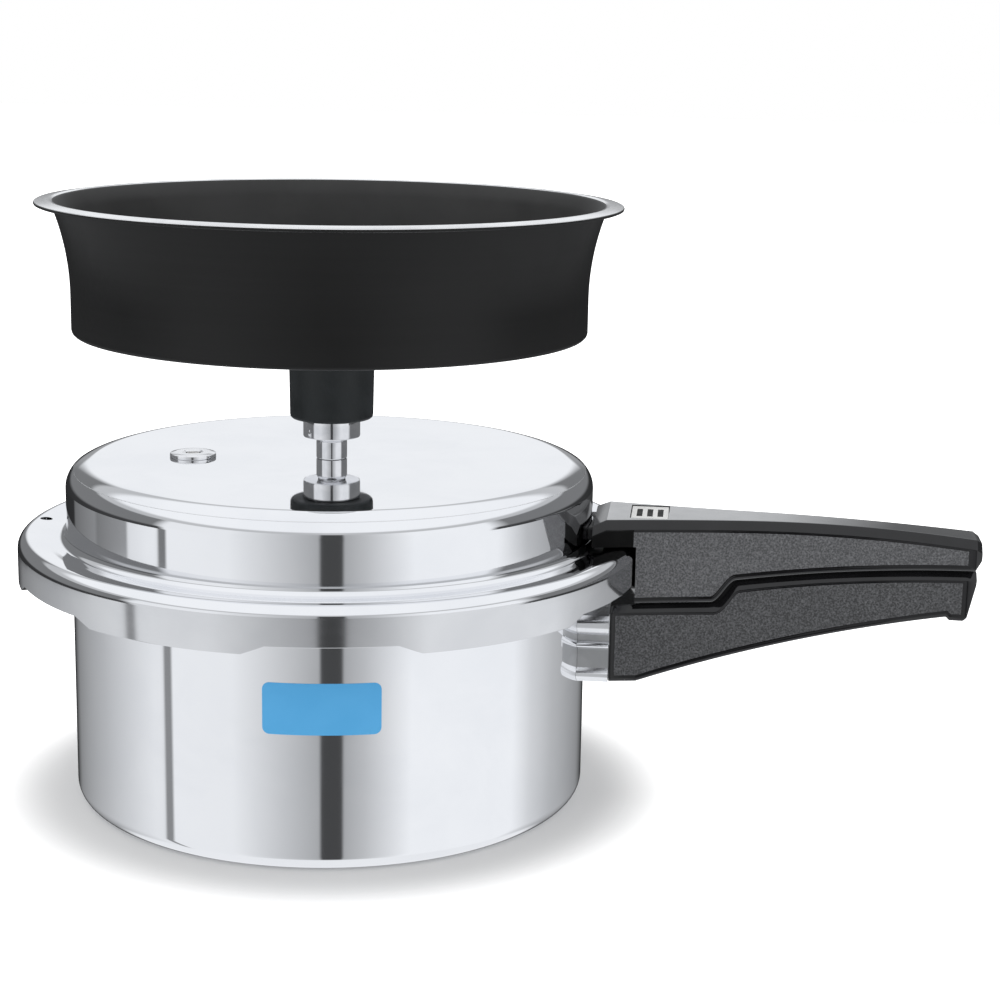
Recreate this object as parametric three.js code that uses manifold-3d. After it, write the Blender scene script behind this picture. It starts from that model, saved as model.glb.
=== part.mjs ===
// Outer-lid pressure cooker with twin bakelite handles and a spill bowl on a raised vent.
// Millimetres, +Z up. Origin: centre of the pot's flat base. The handles point along +X.

import * as THREE from 'three';
import { mergeVertices } from 'three/addons/utils/BufferGeometryUtils.js';
import Module from 'manifold-3d';

const wasm = await Module();
wasm.setup();

// Clearances: between faces that rest on each other, round shafts in holes, and how far a cutter overruns
const seatGap = 0.3;
const holeGap = 0.3;
const overrun = 1;

// Pot
const potRadius = 100;
const potHeight = 97;
const potWall = 3;
const potBase = 4;
const potBaseCorner = 6;
const potInnerCorner = 8;
const rimReach = 6;
const rimThickness = 3.2;
const rimFillet = 4;

// Bayonet lugs, spaced evenly round the rim; the lid's lugs lie under the pot's when the lid is shut
const lugCount = 6;
const firstLugAngle = 10;
const potLugReach = 10.5;
const potLugHalfAngle = 13;
const lidLugHalfAngle = 15;
const lidLugSlopeAngle = 4;
const lidLugThickness = 7;
const lidLugDrop = 3.2;
const lidLugEdge = 1;
const lugSideGap = 1;

// Sealing ring
const gasketThickness = 2.7;
const gasketWidth = 11;
const gasketInset = 3;

// Lid
const sheet = 2.6;
const lidOverhang = 2;
const lidWallHeight = 28.5;
const lidShoulder = 6.8;
const lidFootFillet = 3;
const channelWidth = 5;
const channelSlope = 2;
const ridgeLift = 1;
const ridgeCorner = 4.5;
const skirtGap = 1.4;
const reliefRadius = 2.4;
const reliefAngle = 183;

// Both handles: lengths from the flange's edge, heights from the underside of the lid's lugs
const handleLength = 129.8;
const handleRootHalf = 19.5;
const handleWaistHalf = 9.5;
const handleWaistAt = 91.5;
const handleTipInset = 1.5;

// Seam between the handles: the pot handle's step sits a little nearer to the tip than the lid handle's
const seamStepAt = 28.4;
const seamStepLength = 9.5;
const seamRoot = -4.3;
const seamStepLow = -3.6;
const seamStepHigh = 5.2;
const seamTip = 12.1;
const seamArch = 1.3;
const seamGap = 0.9;
const seamShift = 1.2;

// Lid handle
const lidHandleTop = 28.1;
const lidHandleLevel = 39.5;
const lidHandleFall = 4.3;
const lidHandleNose = 17.3;
const lidHandleNoseLength = 5.3;
const lidHandleNoseDrop = 2.3;
const lidHandleTipLength = 2.3;
const lidHandleTipDrop = 1.5;
const lidHandleTipRise = 3.6;
const lidHandleTopEdge = 3.2;
const lidHandleLowEdge = 1.5;
const lidHandleGap = 0.7;

// Pot handle
const potHandleTuck = 9.7;
const potHandleRootLow = -35.2;
const potHandleHeel = 10.4;
const potHandleBelly = 2.1;
const potHandleHook = -6.4;
const potHandleHookDrop = 1.3;
const potHandleHookWidth = 7.8;
const potHandleTipShort = 1.5;
const potHandleTipSlant = 3;
const potHandleTipRise = 12.5;
const potHandleTopEdge = 2.6;
const potHandleLowEdge = 1.8;

// Brackets, with their tongues inside the handles
const potBracketHalf = 18.5;
const potRibDepth = 1.8;
const potRibHeights = [5.5, 7.4, 3.4, 2.4, 7.6];
const potBracketDrop = 0.8;
const potTongueLift = 12.5;
const potTongueHalf = 9;
const potTongueHeight = 8;
const potTongueLength = 31.2;
const lidBracketHalf = 14;
const lidBracketLift = 2.7;
const lidBracketHeight = 5.2;
const lidTongueHalf = 11;
const lidTongueLength = 30.5;
const bracketFoot = 4;

// Rivets and screws
const rivetRadius = 1.8;
const rivetHeadRadius = 3.4;
const rivetHead = 1.5;
const rivetSpread = 8.5;
const rivetBite = 3;
const screwRadius = 2.4;
const screwHeadRadius = 4.2;
const screwHead = 3;
const screwSlot = 1.2;
const screwSeatWall = 3;
const screwShort = 1;
const potScrewAt = 12.2;
const lidScrewAt = 16.5;

// Indicator plate on top of the lid handle
const plateInset = 3.2;
const plateLength = 14.2;
const plateHalf = 11;
const plateThickness = 1.2;

// Vent tube and safety plug
const ventRadius = 6;
const ventNeckRadius = 5;
const ventSpigotRadius = 4.4;
const ventBore = 1.6;
const ventShoulder = 8.2;
const ventStandout = 10;
const ventTipRadius = 3;
const ventTipTaper = 4;
const ventFootEdge = 0.6;
const ventTopEdge = 1.2;
const nutThickness = 4;
const nutReach = 4;
const spigotStandout = 1;
const plugAngle = 188;
const plugDistance = 53.7;
const plugRadius = 9;
const plugHead = 1.6;
const plugEdge = 0.8;
const plugSpigotRadius = 5;
const plugCoreRadius = 2.6;

// Spill bowl on its neck
const bushRadius = 11.1;
const bushHeight = 7.1;
const bushEdge = 0.6;
const bushSpigotRadius = 8.2;
const bushSpigot = 7;
const neckRadius = 16.5;
const neckTopRadius = 17.3;
const neckHeight = 33.7;
const neckRound = 1.5;
const neckSpigotRadius = 12;
const lockRingReach = 6;
const lockRingHeight = 3.6;
const bowlRadius = 98.3;
const bowlFlare = 6.3;
const bowlFlareHeight = 34;
const bowlRimRadius = 111;
const bowlRimThickness = 2.1;
const bowlRimEdge = 0.5;
const bowlHeight = 50.3;
const bowlWall = 2.4;
const bowlFloor = 2.7;
const bowlCorner = 1.5;
const bowlInnerCorner = 2.5;

// Weight valve
const weightRadius = 11.5;
const weightHeight = 22;
const weightGap = 1.5;
const weightEdge = 1;
const weightSocketGap = 1.2;
const weightStudRadius = 4;
const weightStud = 4;
const weightCapRadius = 9.5;
const weightCapHeight = 8;
const weightCapEdge = 1.5;
const weightCapRound = 3;
const needleRadius = 2.2;
const needleLength = 7;
const needleTip = 1.2;

// Facets round a full turn, and the steps of an extruded curve
const ROUND = 52;
const MEDIUM = 30;
const SMALL = 24;
const PIN = 16;
const TINY = 12;
const HEXAGON = 6;
const CURVE_STEPS = 4;

// Radii and levels that follow from the sizes
const potInner = potRadius - potWall;
const rimRadius = potRadius + rimReach;
const rimUnder = potHeight - rimThickness;
const potLugRadius = rimRadius + potLugReach;
const skirtInner = potLugRadius + skirtGap;
const flangeRadius = skirtInner + sheet;
const lidRadius = potRadius + lidOverhang;
const lidInner = lidRadius - sheet;
const gasketInner = lidInner + gasketInset;
const gasketBottom = potHeight + seatGap;
const gasketTop = gasketBottom + gasketThickness;
const channelUnder = gasketTop + seatGap;
const channelTop = channelUnder + sheet;
const ridgeTop = channelTop + ridgeLift;
const ridgeUnder = ridgeTop - sheet;
const ridgeInner = lidRadius + lidFootFillet + channelWidth;
const lidTop = channelTop + lidWallHeight;
const lidUnder = lidTop - sheet;
const lidLugTop = rimUnder - seatGap;
const lidLugBottom = lidLugTop - lidLugThickness;
const lidLugInner = rimRadius + lugSideGap;
const halfPitch = 180 / lugCount;

const handleTip = flangeRadius + handleLength;
const waistX = flangeRadius + handleWaistAt;
const stepStart = flangeRadius + seamStepAt;
const stepEnd = stepStart + seamStepLength;
const lidTipEdge = handleTip - lidHandleTipLength;
const levelEnd = flangeRadius + lidHandleLevel;
const noseX = flangeRadius - lidHandleNose;
const lidTopStart = noseX + lidHandleNoseLength;
const lidHandleTopZ = lidLugBottom + lidHandleTop;
const potHandleRoot = flangeRadius - potHandleTuck;
const potHandleLow = lidLugBottom + potHandleRootLow;
const potBracketHeight = potRibHeights.reduce((sum, height) => sum + height, 0);
const potBracketBottom = potHandleLow - potBracketDrop;
const potBracketTop = potBracketBottom + potBracketHeight;
const potTongueBottom = potBracketBottom + potTongueLift;
const potTongueTop = potTongueBottom + potTongueHeight;
const potTongueEnd = potHandleRoot + potTongueLength;
const lidBracketBottom = channelTop + lidBracketLift;
const lidBracketTop = lidBracketBottom + lidBracketHeight;
const lidTongueEnd = flangeRadius + lidTongueLength;
const potRivetZ = potBracketBottom + potBracketHeight / 2;
const lidRivetZ = (lidBracketBottom + lidBracketTop) / 2;
const rivetSides = [-rivetSpread, rivetSpread];
const potScrewX = potHandleRoot + potScrewAt;
const potScrewSeat = potTongueBottom - holeGap - screwSeatWall;
const lidScrewX = flangeRadius + lidScrewAt;
const lidScrewSeat = lidBracketBottom - holeGap - screwSeatWall;
const plateStart = flangeRadius - plateInset;
const plateEnd = plateStart + plateLength;

const nutTop = lidUnder - seatGap;
const nutBottom = nutTop - nutThickness;
const spigotBottom = nutBottom - spigotStandout;
const lidSeat = lidTop + seatGap;
const ventShoulderTop = lidTop + ventShoulder;
const bushBottom = ventShoulderTop + seatGap;
const bushTop = bushBottom + bushHeight;
const neckBottom = bushTop + seatGap;
const neckTop = neckBottom + neckHeight;
const guideBore = ventNeckRadius + holeGap;
const bowlBottom = neckTop + seatGap;
const bowlTop = bowlBottom + bowlHeight;
const lockRingBottom = bowlBottom + bowlFloor + seatGap;
const lockRingTop = lockRingBottom + lockRingHeight;
const ventTip = lockRingTop + ventStandout;
const weightSeat = ventTip + seatGap;
const weightBottom = lockRingTop + weightGap;
const weightTop = weightBottom + weightHeight;
const needleTop = weightSeat + needleLength;

const { degToRad: rad, inverseLerp, lerp, smoothstep } = THREE.MathUtils;
const point = (x, y) => new THREE.Vector2(x, y);

// Points on an arc of a profile, with angles in degrees from the outward direction
function arc(r, z, radius, from, to, steps) {
  const points = [];
  for (let i = 0; i <= steps; i += 1) {
    const a = rad(from + ((to - from) * i) / steps);
    points.push(point(r + radius * Math.cos(a), z + radius * Math.sin(a)));
  }
  return points;
}

// A closed surface with shared corners, no flat triangles and its faces pointing out
function closed(source) {
  const bare = source.index ? source.toNonIndexed() : source.clone();
  bare.deleteAttribute('normal');
  bare.deleteAttribute('uv');
  const merged = mergeVertices(bare, 1e-4);
  const position = merged.getAttribute('position');
  const corners = [];
  const [a, b, c] = [new THREE.Vector3(), new THREE.Vector3(), new THREE.Vector3()];
  let volume = 0;
  for (let i = 0; i < merged.index.count; i += 3) {
    const [p, q, r] = [0, 1, 2].map((k) => merged.index.getX(i + k));
    if (p === q || q === r || r === p) continue;
    corners.push(p, q, r);
    a.fromBufferAttribute(position, p);
    b.fromBufferAttribute(position, q);
    c.fromBufferAttribute(position, r);
    volume += a.dot(b.cross(c));
  }
  merged.setIndex(volume < 0 ? corners.reverse() : corners);
  return merged;
}

function toSolid(geometry) {
  const clean = closed(geometry);
  return new wasm.Manifold(new wasm.Mesh({
    numProp: 3,
    vertProperties: new Float32Array(clean.getAttribute('position').array),
    triVerts: new Uint32Array(clean.index.array),
  }));
}

// Joins pieces to a base, then cuts others away from it
function combine(base, { add = [], cut = [] }) {
  let solid = toSolid(base);
  for (const piece of add) solid = solid.add(toSolid(piece));
  for (const piece of cut) solid = solid.subtract(toSolid(piece));
  const mesh = solid.getMesh();
  const geometry = new THREE.BufferGeometry();
  geometry.setAttribute('position', new THREE.BufferAttribute(mesh.vertProperties, 3));
  geometry.setIndex(new THREE.BufferAttribute(mesh.triVerts, 1));
  return geometry;
}

// A profile of (radius, height) points turned round +Z
function turned(profile, facets = SMALL) {
  return new THREE.LatheGeometry(profile, facets).rotateX(Math.PI / 2);
}

function ring(inner, outer, bottom, top, facets = SMALL) {
  const start = point(inner, bottom);
  return turned([start, point(outer, bottom), point(outer, top), point(inner, top), start], facets);
}

function disc(radius, bottom, top, facets = SMALL) {
  return turned([point(0, bottom), point(radius, bottom), point(radius, top), point(0, top)], facets);
}

function block(x0, x1, half, z0, z1) {
  const box = new THREE.BoxGeometry(x1 - x0, 2 * half, z1 - z0);
  return box.translate((x0 + x1) / 2, 0, (z0 + z1) / 2);
}

// A solid skinned over rings of points, each ring with the same number of corners, and closed at both ends
function skinned(rings) {
  const size = rings[0].length;
  const last = size * (rings.length - 1);
  const index = [];
  for (let start = 0; start < last; start += size) {
    for (let k = 0; k < size; k += 1) {
      const p = start + k;
      const q = start + ((k + 1) % size);
      index.push(p, q, q + size, p, q + size, p + size);
    }
  }
  for (let k = 1; k < size - 1; k += 1) index.push(0, k + 1, k, last, last + k, last + k + 1);
  const geometry = new THREE.BufferGeometry();
  geometry.setAttribute('position', new THREE.Float32BufferAttribute(rings.flat(2), 3));
  geometry.setIndex(index);
  return geometry;
}

// A piece of a ring whose ends may slope: half angles in degrees at its bottom and at its top
function sector(inner, outer, bottom, top, middle, halfBottom, halfTop = halfBottom, steps = 6) {
  const rings = [];
  for (let i = 0; i <= steps; i += 1) {
    const share = (2 * i) / steps - 1;
    const low = rad(middle + share * halfBottom);
    const high = rad(middle + share * halfTop);
    const corners = [[inner, low, bottom], [outer, low, bottom], [outer, high, top], [inner, high, top]];
    rings.push(corners.map(([r, a, z]) => [r * Math.cos(a), r * Math.sin(a), z]));
  }
  return skinned(rings);
}

function nut(bore, across) {
  const hexagon = disc(across, nutBottom, nutTop, HEXAGON);
  return combine(hexagon, { cut: [disc(bore, nutBottom - overrun, nutTop + overrun)] });
}

// Pot: straight wall, rounded base, and a rim with lugs that point outwards
function makePotBody() {
  const body = turned([
    point(0, 0),
    ...arc(potRadius - potBaseCorner, potBaseCorner, potBaseCorner, -90, 0, 4),
    ...arc(potRadius + rimFillet, rimUnder - rimFillet, rimFillet, 180, 90, 2),
    point(rimRadius, rimUnder),
    point(rimRadius, potHeight),
    point(potInner, potHeight),
    ...arc(potInner - potInnerCorner, potBase + potInnerCorner, potInnerCorner, 0, -90, 3),
    point(0, potBase),
  ], ROUND);
  const lugs = [];
  for (let i = 0; i < lugCount; i += 1) {
    const middle = firstLugAngle + 2 * halfPitch * i;
    lugs.push(sector(rimRadius - overrun, potLugRadius, rimUnder, potHeight, middle, potLugHalfAngle));
  }
  const cut = rivetSides.map((y) => rivetHole(y, potRivetZ, potInner, potRadius));
  return combine(body, { add: lugs, cut });
}

// Rivets lie along X, with a domed head inside the wall and a blind end in the bracket
function rivetHole(y, z, wallInner, wallOuter) {
  const start = wallInner - rivetSpread - rivetHead;
  const hole = disc(rivetRadius + holeGap, start, wallOuter + seatGap + rivetBite, PIN);
  return hole.rotateY(Math.PI / 2).translate(0, y, z);
}

function makeRivet(y, z, wallInner, wallOuter) {
  const headFace = Math.sqrt(wallInner ** 2 - (Math.abs(y) + rivetHeadRadius) ** 2) - seatGap;
  const end = wallOuter + rivetBite;
  const rivet = turned([
    point(0, headFace - rivetHead),
    point(rivetHeadRadius - rivetHead / 2, headFace - rivetHead),
    point(rivetHeadRadius, headFace - rivetHead / 2),
    point(rivetHeadRadius, headFace),
    point(rivetRadius, headFace),
    point(rivetRadius, end),
    point(0, end),
  ], TINY);
  return rivet.rotateY(Math.PI / 2).translate(0, y, z);
}

const footHalfAngle = (half, radius) => THREE.MathUtils.radToDeg(Math.asin(half / (radius + seatGap)));

// Cast bracket on the pot: a curved foot, a block with ribbed sides and a tongue inside the handle
function makePotBracket() {
  const footInner = potRadius + seatGap;
  const footAngle = footHalfAngle(potBracketHalf, potRadius);
  const foot = sector(footInner, footInner + bracketFoot, potBracketBottom, potBracketTop, 0, footAngle);
  const groove = potBracketHalf - potRibDepth;
  const bulge = (i) => (i % 2 === 0 ? potBracketHalf + potRibDepth : groove);
  const outline = new THREE.Shape();
  let z = potBracketBottom;
  outline.moveTo(-groove, z);
  outline.lineTo(groove, z);
  potRibHeights.forEach((height, i) => {
    outline.quadraticCurveTo(bulge(i), z + height / 2, groove, z + height);
    z += height;
  });
  outline.lineTo(-groove, z);
  potRibHeights.toReversed().forEach((height, i) => {
    outline.quadraticCurveTo(-bulge(i), z - height / 2, -groove, z - height);
    z -= height;
  });
  const blockStart = footInner + bracketFoot / 2;
  const depth = potHandleRoot - seatGap - blockStart;
  const options = { depth, bevelEnabled: false, curveSegments: CURVE_STEPS };
  const ribbed = new THREE.ExtrudeGeometry(outline, options);
  ribbed.rotateX(Math.PI / 2).rotateZ(Math.PI / 2).translate(blockStart, 0, 0);
  const tongueStart = blockStart + bracketFoot / 2;
  const tongue = block(tongueStart, potTongueEnd, potTongueHalf, potTongueBottom, potTongueTop);
  const screwRoom = disc(screwRadius + holeGap, potTongueBottom - overrun, potTongueTop + overrun);
  return combine(foot, {
    add: [ribbed, tongue],
    cut: [
      ...rivetSides.map((y) => rivetHole(y, potRivetZ, potInner, potRadius)),
      screwRoom.translate(potScrewX, 0, 0),
    ],
  });
}

// Slotted screws point up, from under each handle into the bracket's tongue
function makeScrew(x, seat, tongueTop) {
  const neck = seat - seatGap;
  const bottom = neck - screwHead;
  const end = tongueTop - screwShort;
  const screw = turned([
    point(0, bottom),
    point(screwHeadRadius, bottom),
    point(screwHeadRadius, neck),
    point(screwRadius, neck),
    point(screwRadius, end),
    point(0, end),
  ], PIN);
  const reach = screwHeadRadius + overrun;
  const slot = new THREE.BoxGeometry(2 * reach, screwSlot, screwHead);
  return combine(screw, { cut: [slot.translate(0, 0, bottom)] }).translate(x, 0, 0);
}

function screwHole(x, entry, seat, tongueTop) {
  return [
    disc(screwHeadRadius + holeGap, entry, seat).translate(x, 0, 0),
    disc(screwRadius + holeGap, seat - overrun, tongueTop).translate(x, 0, 0),
  ];
}

// Seen from above, both handles narrow to a waist and widen again towards the tip
function handleHalf(x) {
  const share = (x - waistX) / (potHandleRoot - waistX);
  return handleWaistHalf + (handleRootHalf - handleWaistHalf) * share ** 2;
}

// A handle lofted along X through stations of (x, underside, top, half width), with bevelled long edges
function lofted(stations, lowEdge, topEdge) {
  return skinned(stations.map(([x, low, top, half]) => {
    const corners = [
      [-half, low + lowEdge], [lowEdge - half, low], [half - lowEdge, low], [half, low + lowEdge],
      [half, top - topEdge], [half - topEdge, top], [topEdge - half, top], [-half, top - topEdge],
    ];
    return corners.map(([y, z]) => [x, y, z]);
  }));
}

// Places along the handle, from the first up to just before the second
function between(from, to, count) {
  return Array.from({ length: count }, (_, i) => lerp(from, to, i / count));
}

// The seam between the handles: a nearly level run, a step up and a shallow arch out to the tip
function seamLine(x) {
  const high = lidLugBottom + seamStepHigh;
  if (x > stepEnd) {
    const share = inverseLerp(stepEnd, handleTip, x);
    return lerp(high, lidLugBottom + seamTip, share) + 4 * seamArch * share * (1 - share);
  }
  const share = inverseLerp(potHandleRoot, stepStart, x);
  const low = lidLugBottom + lerp(seamRoot, seamStepLow, share);
  return lerp(low, high, smoothstep(x, stepStart, stepEnd));
}

// Pot handle: heel, rising belly, hooked tip with a slanted end, and a stepped top
function makePotHandle() {
  const heelX = potHandleRoot + potHandleHeel;
  const tipX = handleTip - potHandleTipShort;
  const hookX = tipX - potHandleTipSlant;
  const bellyX = hookX - potHandleHookWidth;
  const hook = lidLugBottom + potHandleHook;
  const belly = (x) => {
    const share = Math.max(0, inverseLerp(heelX, bellyX, x));
    return lerp(potHandleLow, hook, share) + 4 * potHandleBelly * share * (1 - share);
  };
  const seam = (x) => seamLine(x - seamShift) - seamGap;
  const station = (x, low) => [x, low, seam(x), handleHalf(x)];
  const [stepFrom, stepTo] = [stepStart + seamShift, stepEnd + seamShift];
  const along = [
    potHandleRoot,
    ...between(heelX, stepFrom, 4),
    ...between(stepFrom, stepTo, 6),
    ...between(stepTo, bellyX, 10),
    bellyX,
  ];
  const stations = along.map((x) => station(x, belly(x)));
  stations.push(station(bellyX + potHandleHookDrop, hook - potHandleHookDrop));
  stations.push(station(hookX - potHandleHookDrop, hook - potHandleHookDrop));
  stations.push(station(hookX, hook));
  stations.push([tipX, hook + potHandleTipRise, seam(tipX), handleHalf(tipX) - handleTipInset]);
  const socketHalf = potTongueHalf + holeGap;
  const socket = block(potHandleRoot - overrun, potTongueEnd + seatGap, socketHalf,
    potTongueBottom - holeGap, potTongueTop + holeGap);
  return combine(lofted(stations, potHandleLowEdge, potHandleTopEdge), {
    cut: [socket, ...screwHole(potScrewX, potHandleLow - overrun, potScrewSeat, potTongueTop)],
  });
}

// The lid handle's top is level over the flange and falls in a parabola to the tip
function topLine(x) {
  const share = Math.max(0, inverseLerp(levelEnd, lidTipEdge, x));
  return lidHandleTopZ - lidHandleFall * share ** 2;
}

// Lid handle: a sloping nose over the flange, a stepped underside, and room for flange, bracket and plate
function makeLidHandle() {
  const along = [
    ...between(lidTopStart, stepStart, 6),
    ...between(stepStart, stepEnd, 6),
    ...between(stepEnd, lidTipEdge, 12),
    lidTipEdge,
  ];
  const stations = along.map((x) => [x, seamLine(x), topLine(x), handleHalf(x)]);
  stations.unshift([noseX, seamLine(noseX), lidHandleTopZ - lidHandleNoseDrop, handleHalf(noseX)]);
  stations.push([handleTip, seamLine(handleTip) + lidHandleTipRise, topLine(lidTipEdge) - lidHandleTipDrop,
    handleHalf(handleTip) - handleTipInset]);
  const roomBottom = seamLine(noseX) - overrun;
  const roomTop = ridgeTop + lidHandleGap;
  const pocketTop = lidBracketTop + holeGap;
  const footEnd = lidRadius + 2 * seatGap + bracketFoot;
  const footRoomHalf = (lidBracketHalf * footEnd) / lidRadius + holeGap;
  const footRoom = block(noseX - overrun, footEnd, footRoomHalf, roomTop - overrun, pocketTop);
  const socket = block(noseX - overrun, lidTongueEnd + seatGap, lidTongueHalf + holeGap,
    lidBracketBottom - holeGap, pocketTop);
  const recessFloor = lidHandleTopZ - plateThickness - seatGap;
  const recess = block(plateStart - holeGap, plateEnd + holeGap, plateHalf + holeGap, recessFloor,
    lidHandleTopZ + overrun);
  return combine(lofted(stations, lidHandleLowEdge, lidHandleTopEdge), {
    cut: [
      disc(flangeRadius + lidHandleGap, roomBottom, roomTop, 2 * ROUND),
      footRoom,
      socket,
      ...screwHole(lidScrewX, roomBottom, lidScrewSeat, lidBracketTop),
      recess,
    ],
  });
}

// Pressed lid: flat top, shoulder, wall, dished channel, ridge, and a skirt cut back between its lugs
function makeLidShell() {
  const innerShoulder = lidShoulder - sheet;
  const body = turned([
    point(0, lidTop),
    ...arc(lidRadius - lidShoulder, lidTop - lidShoulder, lidShoulder, 90, 0, 4),
    ...arc(lidRadius + lidFootFillet, channelTop + lidFootFillet, lidFootFillet, 180, 270, 2),
    point(ridgeInner - channelSlope, channelTop),
    point(ridgeInner, ridgeTop),
    ...arc(flangeRadius - ridgeCorner, ridgeTop - ridgeCorner, ridgeCorner, 90, 0, 2),
    point(flangeRadius, lidLugBottom + lidLugEdge),
    point(flangeRadius - lidLugEdge, lidLugBottom),
    point(lidLugInner, lidLugBottom),
    point(lidLugInner, lidLugTop),
    point(skirtInner, lidLugTop),
    point(skirtInner, ridgeUnder),
    point(ridgeInner, ridgeUnder),
    point(ridgeInner - channelSlope, channelUnder),
    point(lidInner, channelUnder),
    ...arc(lidInner - innerShoulder, lidUnder - innerShoulder, innerShoulder, 0, 90, 2),
    point(0, lidUnder),
  ], ROUND);
  const cut = [];
  const gapHalf = halfPitch - lidLugHalfAngle;
  const cutInner = lidLugInner - lugSideGap / 2;
  const cutBottom = lidLugBottom - overrun;
  for (let i = 0; i < lugCount; i += 1) {
    const middle = firstLugAngle + halfPitch * (2 * i + 1);
    cut.push(sector(cutInner, flangeRadius + overrun, cutBottom, lidLugBottom + lidLugDrop, middle,
      gapHalf, gapHalf - lidLugSlopeAngle));
    cut.push(sector(cutInner, skirtInner + holeGap, cutBottom, lidLugTop + holeGap, middle, gapHalf));
  }
  const reliefAt = (ridgeInner + flangeRadius - ridgeCorner) / 2;
  const relief = disc(reliefRadius, ridgeUnder - overrun, ridgeTop + overrun, PIN);
  cut.push(relief.translate(reliefAt, 0, 0).rotateZ(rad(reliefAngle)));
  cut.push(disc(ventSpigotRadius + holeGap, lidUnder - overrun, lidTop + overrun));
  cut.push(atPlug(disc(plugSpigotRadius + holeGap, lidUnder - overrun, lidTop + overrun)));
  cut.push(...rivetSides.map((y) => rivetHole(y, lidRivetZ, lidInner, lidRadius)));
  return combine(body, { cut });
}

// Pressed bracket on the lid's wall: a curved foot and a flat tongue over the flange
function makeLidBracket() {
  const footInner = lidRadius + seatGap;
  const footAngle = footHalfAngle(lidBracketHalf, lidRadius);
  const foot = sector(footInner, footInner + bracketFoot, lidBracketBottom, lidBracketTop, 0, footAngle);
  const tongueStart = footInner + bracketFoot / 2;
  const tongue = block(tongueStart, lidTongueEnd, lidTongueHalf, lidBracketBottom, lidBracketTop);
  const screwRoom = disc(screwRadius + holeGap, lidBracketBottom - overrun, lidBracketTop + overrun);
  return combine(foot, {
    add: [tongue],
    cut: [
      ...rivetSides.map((y) => rivetHole(y, lidRivetZ, lidInner, lidRadius)),
      screwRoom.translate(lidScrewX, 0, 0),
    ],
  });
}

// Vent tube: a spigot through the lid, a chamfered foot, a shoulder for the bush and a nozzle
function makeVentTube() {
  const start = point(ventBore, spigotBottom);
  return turned([
    start,
    point(ventSpigotRadius, spigotBottom),
    point(ventSpigotRadius, lidSeat),
    point(ventRadius - ventFootEdge, lidSeat),
    point(ventRadius, lidSeat + ventFootEdge),
    point(ventRadius, ventShoulderTop - ventTopEdge),
    point(ventRadius - ventTopEdge / 2, ventShoulderTop),
    point(ventNeckRadius, ventShoulderTop),
    point(ventNeckRadius, ventTip - ventTipTaper),
    point(ventTipRadius, ventTip),
    point(ventBore, ventTip),
    start,
  ]);
}

// Safety plug: a flanged body round a core that melts
function atPlug(geometry) {
  return geometry.translate(plugDistance, 0, 0).rotateZ(rad(plugAngle));
}

function makeSafetyPlug() {
  const bore = plugCoreRadius + holeGap;
  const start = point(bore, spigotBottom);
  return atPlug(turned([
    start,
    point(plugSpigotRadius, spigotBottom),
    point(plugSpigotRadius, lidSeat),
    point(plugRadius, lidSeat),
    point(plugRadius, lidSeat + plugHead - plugEdge),
    point(plugRadius - plugEdge, lidSeat + plugHead),
    point(bore, lidSeat + plugHead),
    start,
  ]));
}

// Bush, neck and lock ring carry the bowl on the vent tube
function makeNeckBush() {
  const start = point(guideBore, bushBottom);
  return turned([
    start,
    point(bushRadius - bushEdge, bushBottom),
    point(bushRadius, bushBottom + bushEdge),
    point(bushRadius, bushTop),
    point(bushSpigotRadius, bushTop),
    point(bushSpigotRadius, bushTop + bushSpigot),
    point(guideBore, bushTop + bushSpigot),
    start,
  ]);
}

function makeSpillNeck() {
  const socket = bushSpigotRadius + holeGap;
  const socketTop = neckBottom + bushSpigot;
  const start = point(socket, neckBottom);
  return turned([
    start,
    ...arc(neckRadius - neckRound, neckBottom + neckRound, neckRound, -90, 0, 3),
    point(neckTopRadius, neckTop),
    point(neckSpigotRadius, neckTop),
    point(neckSpigotRadius, lockRingTop),
    point(guideBore, lockRingTop),
    point(guideBore, socketTop),
    point(socket, socketTop),
    start,
  ], MEDIUM);
}

// Bowl: flat floor, upright wall that flares out near the top, and a flat rim
function makeSpillBowl() {
  const hole = neckSpigotRadius + holeGap;
  const flareRadius = (bowlFlareHeight ** 2 + bowlFlare ** 2) / (2 * bowlFlare);
  const flareCentre = bowlRadius + flareRadius;
  const rimUnderside = bowlTop - bowlRimThickness;
  const flareFrom = rimUnderside - bowlFlareHeight;
  const flareEnd = 180 - THREE.MathUtils.radToDeg(Math.asin(bowlFlareHeight / flareRadius));
  const bowlInner = bowlRadius - bowlWall;
  const innerFloor = bowlBottom + bowlFloor;
  const start = point(hole, bowlBottom);
  return turned([
    start,
    ...arc(bowlRadius - bowlCorner, bowlBottom + bowlCorner, bowlCorner, -90, 0, 3),
    ...arc(flareCentre, flareFrom, flareRadius, 180, flareEnd, 4),
    point(bowlRimRadius - bowlRimEdge, rimUnderside),
    point(bowlRimRadius, rimUnderside + bowlRimThickness / 2),
    point(bowlRimRadius - bowlRimEdge, bowlTop),
    point(bowlRadius + bowlFlare - bowlWall / 2, bowlTop),
    ...arc(flareCentre, flareFrom, flareRadius + bowlWall, flareEnd, 180, 4),
    ...arc(bowlInner - bowlInnerCorner, innerFloor + bowlInnerCorner, bowlInnerCorner, 0, -90, 2),
    point(hole, innerFloor),
    start,
  ], ROUND);
}

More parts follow.
